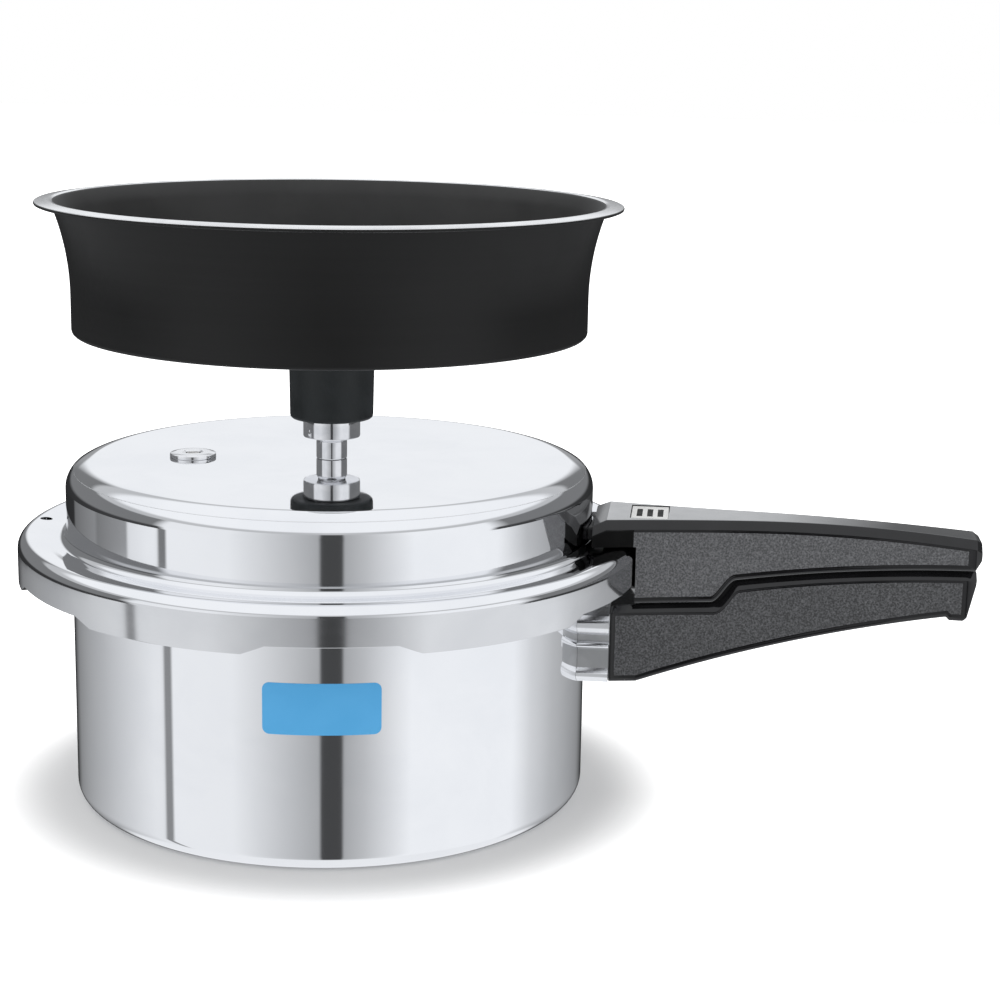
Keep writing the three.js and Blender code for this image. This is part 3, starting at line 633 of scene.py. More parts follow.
def mould_grip(grip, top_bevel, low_bevel, low_steps, panel_start, panel_end, grain):
    """Bevels a grip's long edges, sinks a grained panel into each side and rounds what is sharp.
    The panels' own narrow walls stay as they are."""
    pick(grip, "edges", long_edge(1))
    bpy.ops.mesh.bevel(offset=top_bevel, segments=1)
    pick(grip, "edges", long_edge(-1))
    bpy.ops.mesh.bevel(offset=low_bevel, segments=low_steps, profile=0.5)
    pick(grip, "faces", lambda face: (
        abs(face.normal.y) > panel_flatness and panel_start < middle_of(face).x < panel_end
    ))
    bpy.ops.mesh.inset(thickness=panel_border, depth=-panel_depth)
    grip.data.materials.append(bakelite)
    grip.data.materials.append(grain)
    grip.active_material_index = 1
    bpy.ops.object.material_slot_assign()
    pick(grip, "edges", lambda edge: (
        edge.is_manifold
        and edge.calc_face_angle() > radians(grip_sharp_angle)
        and edge.calc_length() > grip_short_edge
        and min(face.calc_area() for face in edge.link_faces) > 2 * panel_depth * edge.calc_length()
    ))
    bpy.ops.mesh.bevel(offset=grip_rounding, segments=2, profile=0.5)


def points_between(start, end, count):
    """Evenly spaced places along the grip, without the first."""
    return [start + (end - start) * (i + 1) / count for i in range(count)]


# Fine even grain of a moulding
fine_grain, inlet, outlet = new_effect("fine_grain", "Grain", Scale=1400.0, Detail=2.0)
noise = put(fine_grain, "TexNoise")
wire(
    fine_grain, (inlet, "Vector", noise, "Vector"), (inlet, "Scale", noise, "Scale"),
    (inlet, "Detail", noise, "Detail"), (noise, "Fac", outlet, "Grain"),
)

# Charcoal bakelite: smooth and slightly glossy where the mould was polished
bakelite_tones = ((0.005, 0.005, 0.0055), (0.008, 0.008, 0.009))
bakelite_marks = placed(handling, Scale=90.0)
fine = placed(fine_grain, Scale=1400.0, Detail=2.0)
bakelite = finish(
    "smooth_bakelite", (bakelite_marks, *bakelite_tones), (bakelite_marks, 0.05, 0.1),
    (fine, 0.004 * mm), IOR=1.5,
)

# Spark-eroded grain: round pits and peaks of about half a millimetre, with pale glints painted on them
spark_grain, inlet, outlet = new_effect("spark_grain", "Grain", Scale=1500.0)
coarse = put(spark_grain, "TexNoise", {"Detail": 3, "Roughness": 0.7})
pits = put(spark_grain, "TexVoronoi", {"Randomness": 1.0}, feature="SMOOTH_F1")
mixed = put(spark_grain, "Math", {1: 0.5}, operation="MULTIPLY_ADD")
clear = put(spark_grain, "MapRange", {"From Min": 0.58, "From Max": 1.05})
wire(
    spark_grain, (inlet, "Vector", coarse, "Vector"), (inlet, "Scale", coarse, "Scale"),
    (inlet, "Vector", pits, "Vector"), (inlet, "Scale", pits, "Scale"), (pits, "Distance", mixed, 0),
    (coarse, "Fac", mixed, 2), (mixed, 0, clear, "Value"), (clear, "Result", outlet, "Grain"),
)


def grained_finish(name, ground, glint):
    """Grained bakelite with a dark ground and paler painted glints, each a grey."""
    grain = placed(spark_grain, Scale=1500.0)
    tones = [(grey, grey * 1.02, grey * 1.08) for grey in (ground, glint)]
    return finish(name, (grain, *tones), (grain, 0.6, 0.38), (grain, 0.12 * mm), Specular_IOR_Level=0.5)


# The lower grip's grain is a darker copy of the upper grip's, as painted shade.
grained = grained_finish("grained_bakelite", 0.032, 0.145)


def pot_grip_underside(x):
    """The lower grip's underside: a flat heel and a hollow belly."""
    if x <= heel_end:
        return pot_grip_low.z
    return arch(x, heel_end, pot_grip_low.z, belly_end, hook_height, belly_arch)


def pot_station(x, underside):
    """One cross-section of the lower grip, under the seam."""
    return (x, underside, seam(x - seam_shift) - seam_gap, grip_half(x))


pot_grip_places = [pot_handle_root, pot_handle_root + root_step]
pot_grip_places += points_between(pot_handle_root + root_step, heel_end, 2)
pot_grip_places += points_between(heel_end, step_start + seam_shift, 6)
pot_grip_places += points_between(step_start + seam_shift, step_end + seam_shift, 10)
pot_grip_places += points_between(step_end + seam_shift, belly_end, 16)
pot_grip_stations = [pot_station(x, pot_grip_underside(x)) for x in pot_grip_places]
pot_grip_stations += [
    pot_station(belly_end + hook_drop, hook_height - hook_drop),
    pot_station(hook_end - hook_drop, hook_height - hook_drop),
    pot_station(hook_end, hook_height),
]
end_x, _, end_top, end_half = pot_station(pot_grip_high.x, hook_height)
pot_grip_stations += [(end_x, hook_height + end_rise, end_top, end_half - grip_tip_inset)]
pot_grip = draw_out("pot_grip", pot_grip_stations)
mould_grip(
    pot_grip, pot_grip_top_bevel, pot_grip_low_bevel, 3,
    pot_handle_root + mm, hook_end - hook_drop + 0.1 * mm, grained,
)
bpy.ops.object.mode_set(mode="OBJECT")
pot_screw_low, pot_screw_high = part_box("pot_handle_screw")
screw_head = 3 * mm
screw_head_radius = 4.2 * mm


def screw_room(grip, bottom, screw_low, screw_high):
    """Cuts the deep round hole that a handle screw's head goes up into."""
    top = screw_low.z + screw_head + fit_gap
    cutter = rod("screw_room", screw_head_radius + fit_gap, bottom - 5 * mm, top, 48)
    cutter.location.x = (screw_low.x + screw_high.x) / 2
    carve(grip, cutter)


screw_room(pot_grip, pot_grip_low.z, pot_screw_low, pot_screw_high)
smooth(pot_grip)
seat(pot_grip, "pot", "bakelite", "pot_handle")
# Polished metal leaves it out of its mirror image
pot_grip.visible_glossy = False

# Handle screws: slotted steel screws from below, through each handle into its bracket's tongue.
# Their cheese heads stand at the top of the round holes in the grips.
screw_shank = 2.4 * mm
screw_slot_reach = 6 * mm
screw_slot_half = 0.6 * mm
screw_slot_depth = 1.5 * mm


def handle_screw(name, node, body):
    """A cheese-head screw in the place of its plain solid."""
    low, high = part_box(node)
    piece = turn(name, [
        (1 * mm, low.z, 0),
        (screw_head_radius, low.z, 0.4 * mm),
        (screw_head_radius, low.z + screw_head, 0),
        (screw_shank, low.z + screw_head, 0),
        (screw_shank, high.z, 0.4 * mm),
        (0.5 * mm, high.z, 0),
    ], 40)
    bpy.ops.object.mode_set(mode="OBJECT")
    slot = bar(
        "slot_cutter", -screw_slot_reach, screw_slot_reach, screw_slot_half,
        low.z - mm, low.z + screw_slot_depth,
    )
    carve(piece, slot)
    settle(piece, ((low.x + high.x) / 2, 0, 0))
    smooth(piece)
    coat(piece, turned_steel)
    seat(piece, body, "steel", node)


handle_screw("pot_grip_screw", "pot_handle_screw", "pot")

# Sealing ring: moulded black rubber in the lid's channel, pressed on the pot's rim.
# Its edges are rounded, and fine rings from the mould run round its faces.
ring_low, ring_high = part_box("sealing_ring")
ring_outer = ring_high.x
ring_inner = ring_outer - 11 * mm
ring_corner = 0.6 * mm
seal = turn("seal_ring", [
    (ring_inner, ring_low.z, ring_corner),
    (ring_outer, ring_low.z, ring_corner),
    (ring_outer, ring_high.z, ring_corner),
    (ring_inner, ring_high.z, ring_corner),
], large_facets, hollow=True)
smooth(seal, 50)

marks = placed(handling, Scale=140.0)
lines = placed(turning_lines, Density=700.0)
rubber = finish(
    "moulded_rubber", (marks, (0.028, 0.028, 0.029), (0.05, 0.05, 0.052)), (marks, 0.55, 0.75),
    (lines, 0.06 * mm), Specular_IOR_Level=0.4,
)
coat(seal, rubber)
seat(seal, "seal", "rubber", "sealing_ring")

# Lid: pressed and spun from one aluminium disc, polished outside and satin inside.
# A soft cone leads from its flat top to its wall, and a dished channel runs round the wall's foot.
# The turned skirt outside the channel is cut back between six inward lugs.
lid_low, lid_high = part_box("lid_shell")
sheet = 2.6 * mm
lid_radius = 102 * mm
lid_top = lid_high.z
shoulder_width = 6.5 * mm
shoulder_fall = 5 * mm
shoulder_corner = 4.5 * mm
shoulder_inner_set = 0.3 * sheet
shoulder_inner_drop = 0.55 * sheet
lid_wall_corner = 4 * mm
channel_top = lid_top - 28.5 * mm
lid_foot = 3 * mm
ridge_inner = 113 * mm
ridge_slope = 6 * mm
ridge_top = channel_top + mm
ridge_corner = 4.5 * mm
lid_lug_top = rim_under - fit_gap
lid_lug_drop = 3.2 * mm
lid_lug_inner = 107 * mm
lid_lug_half_angle = 15
lug_facet = 2
skirt_bottom = lid_low.z + lid_lug_drop
skirt_inner = flange_radius - sheet

lid = turn("lid", [
    (lid_radius / 2, lid_top, 0),
    (lid_radius - shoulder_width, lid_top, shoulder_corner),
    (lid_radius, lid_top - shoulder_fall, lid_wall_corner),
    (lid_radius, channel_top, lid_foot),
    (ridge_inner - ridge_slope, channel_top, 1.8 * mm),
    (ridge_inner, ridge_top, 2.8 * mm),
    (flange_radius, ridge_top, ridge_corner),
    (flange_radius, skirt_bottom, 0.5 * mm),
    (skirt_inner, skirt_bottom, 0.5 * mm),
    (skirt_inner, lid_lug_top, 0),
    (skirt_inner, ridge_top - sheet, 1.2 * mm),
    (ridge_inner, ridge_top - sheet, 2 * mm),
    (ridge_inner - ridge_slope, channel_top - sheet, 1.8 * mm),
    (lid_radius - sheet, channel_top - sheet, 0.8 * mm),
    (lid_radius - sheet, lid_top - shoulder_fall - shoulder_inner_drop, 2.5 * mm),
    (lid_radius - shoulder_width - shoulder_inner_set, lid_top - sheet, 3 * mm),
    (lid_radius / 2, lid_top - sheet, 0),
], large_facets)
lug_end = lid_lug_half_angle + lug_facet / 4
for start, end, share in ((0, lug_end, 1), (lug_end, lug_end + lug_facet, 0.5)):
    pick(lid, "verts", lambda v: (
        v.co.z < skirt_bottom + 0.6 * mm
        and reach(v.co) > skirt_inner - mm
        and start <= off_lug(v.co) < end
    ))
    bpy.ops.transform.translate(value=(0, 0, -share * lid_lug_drop))
pick(lid, "faces", lambda face: (
    outward(face) < -square_on
    and reach(middle_of(face)) > lid_lug_inner
    and middle_of(face).z < lid_lug_top
    and off_lug(middle_of(face)) < lid_lug_half_angle
))
bpy.ops.mesh.extrude_region_move()
lug_shrink = lid_lug_inner / skirt_inner
bpy.ops.transform.resize(value=(lug_shrink, lug_shrink, 1), center_override=(0, 0, lid_lug_top))
bpy.ops.object.mode_set(mode="OBJECT")
relief_radius = 2.4 * mm
relief_bearing = radians(183)
relief_reach = 113 * mm
relief_cutter = rod("relief_cutter", relief_radius, channel_top - 5 * mm, ridge_top + 5 * mm, 40)
relief_cutter.location = (relief_reach * cos(relief_bearing), relief_reach * sin(relief_bearing), 0)
carve(lid, relief_cutter)
smooth(lid)
coat(lid, polished)

# The skirt's turned lines are real, but its darker grey is painted shade that sets it off from the lid
# wall.
marks = placed(handling, Scale=30.0)
lines = placed(turning_lines, Density=700.0)
turned = finish(
    "skirt_painted_shade_aluminium", (marks, (0.74, 0.745, 0.755), (0.69, 0.695, 0.71)), (lines, 0.07, 0.13),
    (lines, 0.0012 * mm), Metallic=1.0,
)
coat(lid, turned, lambda face: (
    outward(face) > square_on and reach(middle_of(face)) > flange_radius - 0.2 * mm
))
coat(lid, satin, lambda face: (
    reach(middle_of(face)) < lid_radius - sheet / 2
    and middle_of(face).z < lid_top - sheet / 2
    and (face.normal.z < -0.1 or outward(face) < -0.1)
    and middle_of(face).z > channel_top - 2 * sheet
))
seat(lid, "lid", "polished_aluminium", "lid_shell")

# Lid bracket: blackened steel, with a foot curved to the lid's wall and a flat tongue.
# The tongue passes over the flange into the upper handle.
foot_low, foot_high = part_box("lid_bracket")
foot_half = 14 * mm
foot_outer = lid_radius + fit_gap + 4 * mm
lid_tongue_half = 11 * mm
lid_bracket = bar(
    "lid_bracket_foot", lid_radius - 4 * mm, foot_outer, foot_half, foot_low.z, foot_high.z, mm,
)
carve(lid_bracket, rod("lid_wall_cutter", lid_radius + fit_gap, 0, 2 * lid_top, large_facets))
lid_tongue = bar(
    "lid_tongue", foot_outer - tongue_overlap, foot_high.x, lid_tongue_half,
    foot_low.z, foot_high.z, tongue_edge,
)
weld(lid_bracket, lid_tongue)
smooth(lid_bracket)

marks = placed(handling, Scale=110.0)
blackened = finish(
    "blackened_steel", (marks, (0.010, 0.010, 0.011), (0.022, 0.022, 0.023)), (marks, 0.42, 0.6),
    (marks, 0.05 * mm), Metallic=0.4,
)
coat(lid_bracket, blackened)
seat(lid_bracket, "lid", "black_steel", "lid_bracket")
rivet("lid_rivet_left", "lid_rivet_1", "lid")
rivet("lid_rivet_right", "lid_rivet_2", "lid")

# Lid handle: the upper half of the grip, in the same bakelite, screwed to the lid's bracket.
# It has a lacquered top with broad bevels, a sloping nose over the flange and grained sunk sides.
lid_grip_low, lid_grip_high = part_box("lid_handle")
nose_x = lid_grip_low.x
nose_end = nose_x + 5.3 * mm
nose_drop = 2.3 * mm
level_end = flange_radius + 39.5 * mm
top_fall = 4.3 * mm
tip_edge = grip_tip - 2.3 * mm
tip_drop = 1.5 * mm
tip_rise = 3.6 * mm
lid_panel_start = 113 * mm
lid_panel_end = 246 * mm
flange_room = 0.7 * mm
lid_grip_top_bevel = 3.2 * mm
lid_grip_low_bevel = 1.4 * mm
lacquer_level = 0.97


def grip_top(x):
    """The upper grip's top line: level over the flange, then falling towards the tip."""
    share = max(0, (x - level_end) / (tip_edge - level_end))
    return lid_grip_high.z - top_fall * share ** 2


lid_grip_places = [nose_end, lid_panel_start] + points_between(lid_panel_start, step_start, 6)
lid_grip_places += points_between(step_start, step_end, 10)
lid_grip_places += points_between(step_end, lid_panel_end, 16)
lid_grip_places += [tip_edge]
lid_grip_stations = [(nose_x, seam(nose_x), lid_grip_high.z - nose_drop, grip_half(nose_x))]
lid_grip_stations += [(x, seam(x), grip_top(x), grip_half(x)) for x in lid_grip_places]
lid_grip_stations += [(
    grip_tip, seam(grip_tip) + tip_rise, grip_top(tip_edge) - tip_drop,
    grip_half(grip_tip) - grip_tip_inset,
)]
lid_grip = draw_out("lid_grip", lid_grip_stations)
# The upper grip's panels take a paler copy of the grain, as painted light.
mould_grip(
    lid_grip, lid_grip_top_bevel, lid_grip_low_bevel, 2, lid_panel_start, lid_panel_end,
    grained_finish("lit_grained_bakelite", 0.058, 0.2),
)
bpy.ops.mesh.select_all(action="SELECT")
bpy.ops.mesh.quads_convert_to_tris()
bpy.ops.object.mode_set(mode="OBJECT")
room_top = ridge_top + flange_room
carve(lid_grip, rod("flange_cutter", flange_radius + flange_room, 60 * mm, room_top, large_facets))
foot_room = bar(
    "foot_cutter", nose_x - mm, foot_outer + fit_gap, foot_high.y + fit_gap,
    room_top - mm, foot_high.z + fit_gap,
)
carve(lid_grip, foot_room)
plate_low, plate_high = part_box("lid_handle_plate")
window_depth = 1.3 * mm
window = bar(
    "window_cutter", plate_low.x - fit_gap, plate_high.x + fit_gap, plate_high.y + fit_gap,
    plate_high.z - window_depth, plate_high.z + 3 * mm,
)
carve(lid_grip, window)
lid_screw_low, lid_screw_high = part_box("lid_handle_screw")
screw_room(lid_grip, seam_root, lid_screw_low, lid_screw_high)
smooth(lid_grip)

# Painted shade: faces of the upper grip that do not look up, over the flange or left of its panels, get a
# darker, almost unreflecting bakelite.
marks = placed(handling, Scale=130.0)
root_shade = finish(
    "root_painted_shade_bakelite", (marks, (0.003, 0.003, 0.003), (0.006, 0.006, 0.006)), (marks, 0.65, 0.8),
    (marks, 0.03 * mm), Specular_IOR_Level=0.1,
)

lacquered = finish(
    "lacquered_bakelite", (bakelite_marks, *bakelite_tones), (bakelite_marks, 0.08, 0.14),
    coat_weight=(bakelite_marks, 1.0, 0.9), IOR=1.6, Coat_IOR=1.6, Coat_Roughness=0.05,
)
coat(lid_grip, lacquered, lambda face: (
    face.normal.z > lacquer_level and middle_of(face).z > grip_top(tip_edge) - mm
))
coat(lid_grip, root_shade, lambda face: (
    face.normal.z < 0.1
    and (max(reach(corner.co) for corner in face.verts) < flange_radius + 2 * flange_room
         or middle_of(face).x < lid_panel_start)
))
seat(lid_grip, "lid", "bakelite", "lid_handle")
handle_screw("lid_grip_screw", "lid_handle_screw", "lid")

# Indicator plate: a white moulded tile in a window of the upper handle.
# Three plain black bars are printed in shallow recesses across it.
plate_sink = 0.35 * mm
plate_thickness = 0.9 * mm
plate_edge = 0.15 * mm
bar_count = 3
bar_pitch = 4 * mm
bar_width = 2.2 * mm
bar_half = 6.4 * mm
bar_depth = 0.15 * mm
plate_top = plate_high.z - plate_sink
plate = bar(
    "indicator_plate", plate_low.x, plate_high.x, plate_high.y, plate_top - plate_thickness,
    plate_top, plate_edge,
)
plate_middle = (plate_low.x + plate_high.x) / 2

marks = placed(handling, Scale=160.0)
white_tile = finish(
    "white_tile", (marks, (0.88, 0.88, 0.87), (0.84, 0.84, 0.83)), (marks, 0.3, 0.42),
    (marks, 0.01 * mm), Specular_IOR_Level=0.5,
)
marks = placed(handling, Scale=200.0)
black_print = finish(
    "black_print", (marks, (0.008, 0.008, 0.008), (0.02, 0.02, 0.02)), (marks, 0.45, 0.6),
    Specular_IOR_Level=0.1,
)
coat(plate, white_tile)
for i in range(bar_count):
    bar_x = plate_middle + (i - (bar_count - 1) / 2) * bar_pitch
    recess = bar(
        "bar_cutter", bar_x - bar_width / 2, bar_x + bar_width / 2, bar_half,
        plate_top - bar_depth, plate_top + mm,
    )
    carve(plate, recess)
smooth(plate)
coat(plate, black_print, lambda face: (
    face.normal.z > square_on and middle_of(face).z < plate_top - bar_depth / 2
))
seat(plate, "lid", "white_plate", "lid_handle_plate")
# Polished metal leaves it out of its mirror image
plate.visible_glossy = False

# Vent tube: turned steel, with a foot on the lid, a shoulder for the bush and a nozzle on top.
# A hexagon nut holds it under the lid.
vent_low, vent_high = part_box("vent_tube")
vent_foot = lid_top
vent_radius = 6 * mm
vent_neck_radius = 5 * mm
vent_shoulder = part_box("neck_bush")[0].z - fit_gap
vent_bore = 1.6 * mm
vent_stem = 4.4 * mm
vent_nozzle = 3 * mm
vent_nozzle_slope = 4 * mm
vent_shoulder_slope = 1.4 * mm
vent_nut_bore = 4.7 * mm
vent = turn("vent", [
    (vent_bore, vent_low.z, 0),
    (vent_stem, vent_low.z, 0.3 * mm),
    (vent_stem, vent_foot, 0),
    (vent_radius, vent_foot, 0.5 * mm),
    (vent_radius, vent_shoulder - vent_shoulder_slope, 0.2 * mm),
    (vent_neck_radius + 0.2 * mm, vent_shoulder, 0.2 * mm),
    (vent_neck_radius, vent_shoulder + 0.1 * mm, 0),
    (vent_neck_radius, vent_high.z - vent_nozzle_slope, 0.2 * mm),
    (vent_nozzle, vent_high.z, 0.3 * mm),
    (vent_bore, vent_high.z, 0),
], 64, hollow=True)
smooth(vent)

marks = placed(handling, Scale=150.0)
lines = placed(turning_lines, Density=1400.0)
bright_steel = finish(
    "bright_steel", (marks, (0.86, 0.86, 0.87), (0.76, 0.765, 0.78)), (lines, 0.04, 0.08),
    (lines, 0.0008 * mm), Metallic=1.0,
)
coat(vent, bright_steel)
seat(vent, "lid", "steel", "vent_tube")


def hexagon_nut(name, node, bore):
    """A chamfered hexagon nut in the place of its plain solid."""
    low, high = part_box(node)
    across = (high.x - low.x) / 2
    piece = turn(name, [(across, low.z, 0.5 * mm), (across, high.z, 0.5 * mm)], 6)
    bpy.ops.object.mode_set(mode="OBJECT")
    carve(piece, rod("nut_bore", bore, low.z - mm, high.z + mm, 48))
    settle(piece, ((low.x + high.x) / 2, (low.y + high.y) / 2, 0))
    smooth(piece, 25)
    coat(piece, turned_steel)
    seat(piece, "lid", "steel", node)


hexagon_nut("vent_nut_hex", "vent_nut", vent_nut_bore)

# Safety plug: a turned steel body with a low flange, screwed through the lid beside the vent.
# Its slotted core is a soft metal that melts, and a nut holds the body from below.
plug_low, plug_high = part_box("safety_plug")
plug_place = ((plug_low.x + plug_high.x) / 2, (plug_low.y + plug_high.y) / 2, 0)
plug_radius = (plug_high.x - plug_low.x) / 2
plug_core_radius = 2.6 * mm
plug_stem = 5 * mm
plug_nut_bore = 5.3 * mm
plug = turn("plug", [
    (plug_core_radius + fit_gap, plug_low.z, 0),
    (plug_stem, plug_low.z, 0.3 * mm),
    (plug_stem, vent_foot, 0),
    (plug_radius, vent_foot, 0.2 * mm),
    (plug_radius, plug_high.z - 0.5 * mm, 0.4 * mm),
    (plug_radius - 2 * mm, plug_high.z, 0.4 * mm),
    (plug_core_radius + 1.4 * mm, plug_high.z, 0.2 * mm),
    (plug_core_radius + fit_gap, plug_high.z - 0.5 * mm, 0),
], 64, hollow=True)
smooth(plug)
settle(plug, plug_place)

marks = placed(handling, centre=plug_place, Scale=150.0)
lines = placed(turning_lines, centre=plug_place, Density=1500.0)
plug_steel = finish(
    "plug_steel", (marks, (0.88, 0.88, 0.89), (0.78, 0.785, 0.80)), (lines, 0.08, 0.18),
    (lines, 0.002 * mm), Metallic=1.0,
)
coat(plug, plug_steel)
seat(plug, "lid", "steel", "safety_plug")

core_low, core_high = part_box("safety_plug_core")
core_slot_reach = 2.1 * mm
core_slot_half = 0.45 * mm
core_slot_depth = 1.2 * mm
core_slot_bearing = 35
core = turn("plug_core", [
    (1 * mm, core_low.z, 0),
    (plug_core_radius, core_low.z, 0.3 * mm),
    (plug_core_radius, core_high.z - 0.6 * mm, 0.3 * mm),
    (1 * mm, core_high.z - 0.4 * mm, 0),
], 48)
bpy.ops.object.mode_set(mode="OBJECT")
core_slot = bar(
    "core_slot", -core_slot_reach, core_slot_reach, core_slot_half,
    core_high.z - core_slot_depth, core_high.z,
)
core_slot.rotation_euler.z = radians(core_slot_bearing)
carve(core, core_slot)
smooth(core)
settle(core, plug_place)
marks = placed(handling, centre=plug_place, Scale=400.0)
soft_metal = finish(
    "soft_metal", (marks, (0.80, 0.79, 0.77), (0.66, 0.65, 0.63)), (marks, 0.3, 0.5),
    (marks, 0.03 * mm), Metallic=1.0,
)
coat(core, soft_metal)
seat(core, "lid", "brass", "safety_plug_core")
hexagon_nut("plug_nut_hex", "safety_plug_nut", plug_nut_bore)

# Neck bush: a bright turned collar that stands on the vent's shoulder and carries the neck.
# A spigot on its top fits the neck's socket.
bush_low, bush_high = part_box("neck_bush")
bush_radius = bush_high.x
bush_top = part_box("spill_neck")[0].z - fit_gap
guide_bore = vent_neck_radius + fit_gap
bush_spigot = 8.2 * mm
bush = turn("bush", [
    (guide_bore, bush_low.z, 0.3 * mm),
    (bush_radius, bush_low.z, 0.7 * mm),
    (bush_radius, bush_top, 0.3 * mm),
    (bush_spigot, bush_top, 0),
    (bush_spigot, bush_high.z, 0.3 * mm),
    (guide_bore, bush_high.z, 0),
], 72, hollow=True)
smooth(bush)
coat(bush, bright_steel)
seat(bush, "spill_guard", "steel", "neck_bush")

# Spill neck: a moulded sleeve of blue-black plastic pushed over the bush.
# It flares a little under the bowl, and its spigot passes up through the bowl's floor.
neck_low, neck_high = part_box("spill_neck")
neck_radius = 16.5 * mm
neck_top_radius = 17.3 * mm
bowl_low, bowl_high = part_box("spill_bowl")
neck_top = bowl_low.z - fit_gap
neck_socket = bush_spigot + fit_gap
neck_socket_top = neck_low.z + 7 * mm
neck_spigot = 12 * mm
flare_start = neck_top - 9 * mm
neck = turn("neck", [
    (neck_socket, neck_low.z, 0.5 * mm),
    (neck_radius - 0.4 * mm, neck_low.z, 1.5 * mm),
    (neck_radius, flare_start, 6 * mm),
    (neck_top_radius, neck_top, 0.4 * mm),
    (neck_spigot, neck_top, 0),
    (neck_spigot, neck_high.z, 0.5 * mm),
    (guide_bore, neck_high.z, 0.3 * mm),
    (guide_bore, neck_socket_top, 0),
    (neck_socket, neck_socket_top, 0),
], 96, hollow=True)
smooth(neck)

marks = placed(handling, Scale=120.0)
fine = placed(fine_grain, Scale=1800.0, Detail=2.0)
blue_black = finish(
    "blue_black_plastic", (marks, (0.010, 0.0135, 0.0145), (0.016, 0.020, 0.0215)),
    (marks, 0.45, 0.58), (fine, 0.02 * mm), Specular_IOR_Level=0.4,
)
coat(neck, blue_black)
seat(neck, "spill_guard", "satin_black", "spill_neck")

# Spill bowl: spun aluminium with a satin black coat, a flat floor and an upright wall.
# The wall flares out near the top into a thin rim, which falls a little outwards.
# The rim is rubbed bright on top, and the coat inside is greyer.
bowl_radius = 98.3 * mm
bowl_flare = 6.3 * mm
bowl_flare_height = 34 * mm
bowl_rim_radius = bowl_high.x
bowl_rim = 2.1 * mm
bowl_rim_fall = 0.9 * mm
bowl_lip_set = 2.2 * mm
rim_level = 0.85
inner_lean = 0.6
inner_level = 0.3
bowl_wall = 2.4 * mm
bowl_floor = 2.7 * mm
bowl_corner = 1.5 * mm
bowl_inner_corner = 2.5 * mm
bowl_hole = neck_spigot + fit_gap
bowl_top = bowl_high.z
flare_from = bowl_top - bowl_rim - bowl_flare_height
flare_radius = (bowl_flare_height ** 2 + bowl_flare ** 2) / (2 * bowl_flare)
flare_steps = 14


def flare(rise, thickness=0.0):
    """The wall's radius at a height above the start of its flare."""
    return bowl_radius + flare_radius - sqrt((flare_radius + thickness) ** 2 - rise ** 2)


rises = points_between(0, bowl_flare_height, flare_steps)
bowl_rings = [(bowl_hole, bowl_low.z, 0.4 * mm), (bowl_radius, bowl_low.z, bowl_corner)]
bowl_rings += [(bowl_radius, flare_from, 0)]
bowl_rings += [(flare(rise), flare_from + rise, 0) for rise in rises]
bowl_rings += [
    (bowl_rim_radius, bowl_top - bowl_rim, 0.6 * mm),
    (bowl_rim_radius, bowl_top - bowl_rim_fall, 0.5 * mm),
    (flare(bowl_flare_height) - bowl_wall + bowl_lip_set, bowl_top, 1.5 * mm),
]
bowl_rings += [(flare(rise, bowl_wall), flare_from + rise, 0) for rise in reversed(rises[:-1])]
bowl_rings += [
    (bowl_radius - bowl_wall, flare_from, 0),
    (bowl_radius - bowl_wall, bowl_low.z + bowl_floor, bowl_inner_corner),
    (bowl_hole, bowl_low.z + bowl_floor, 0.4 * mm),
]
bowl = turn("bowl", bowl_rings, large_facets, hollow=True)
smooth(bowl, 40)

marks = placed(handling, Scale=20.0)
lines = placed(turning_lines, Density=160.0)
fine = placed(fine_grain, Scale=1500.0, Detail=3.0)
satin_black = finish(
    "satin_black_coat", (lines, (0.0075, 0.0075, 0.0076), (0.0125, 0.0125, 0.0127)),
    (marks, 0.36, 0.46), (fine, 0.015 * mm), Specular_IOR_Level=0.2,
)
coat(bowl, satin_black)

marks = placed(handling, Scale=60.0)
lines = placed(turning_lines, Density=900.0)
rubbed = finish(
    "rubbed_aluminium", (marks, (0.94, 0.94, 0.94), (0.80, 0.80, 0.81)), (lines, 0.12, 0.2),
    (lines, 0.001 * mm), Metallic=1.0,
)
coat(bowl, rubbed, lambda face: (
    face.normal.z > rim_level and middle_of(face).z > bowl_top - bowl_rim
))

marks = placed(handling, Scale=30.0)
inner_coat = finish(
    "grey_inner_coat", (marks, (0.026, 0.026, 0.026), (0.034, 0.034, 0.034)), (marks, 0.4, 0.5),
    (marks, 0.01 * mm), Specular_IOR_Level=0.3,
)
coat(bowl, inner_coat, lambda face: (
    outward(face) < -inner_lean or (face.normal.z > inner_level and middle_of(face).z < flare_from)
))
seat(bowl, "spill_guard", "satin_black", "spill_bowl")
# Polished metal leaves it out of its mirror image
bowl.visible_glossy = False

# Lock ring: a thin turned steel nut inside the bowl that clamps its floor to the neck.
# Round notches in its edge take a spanner.
lock_low, lock_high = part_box("neck_lock_ring")
lock_outer = lock_high.x
notch_count = 6
notch_radius = 1.5 * mm


def notch_round(piece, count, radius, away, low, high, facets):
    """Cuts evenly spaced round notches into a piece, at a distance from its axis."""
    for i in range(count):
        cutter = rod("notch_cutter", radius, low - mm, high + mm, facets)
        bearing = 2 * pi * i / count
        cutter.location = (away * cos(bearing), away * sin(bearing), 0)
        carve(piece, cutter)


lock = turn("lock_ring", [
    (neck_spigot + fit_gap, lock_low.z, 0),
    (lock_outer, lock_low.z, 0.3 * mm),
    (lock_outer, lock_high.z, 0.6 * mm),
    (neck_spigot + fit_gap, lock_high.z, 0.4 * mm),
], 96, hollow=True)
bpy.ops.object.mode_set(mode="OBJECT")
notch_round(lock, notch_count, notch_radius, lock_outer, lock_low.z, lock_high.z, 32)
smooth(lock)
coat(lock, turned_steel)
seat(lock, "spill_guard", "steel", "neck_lock_ring")

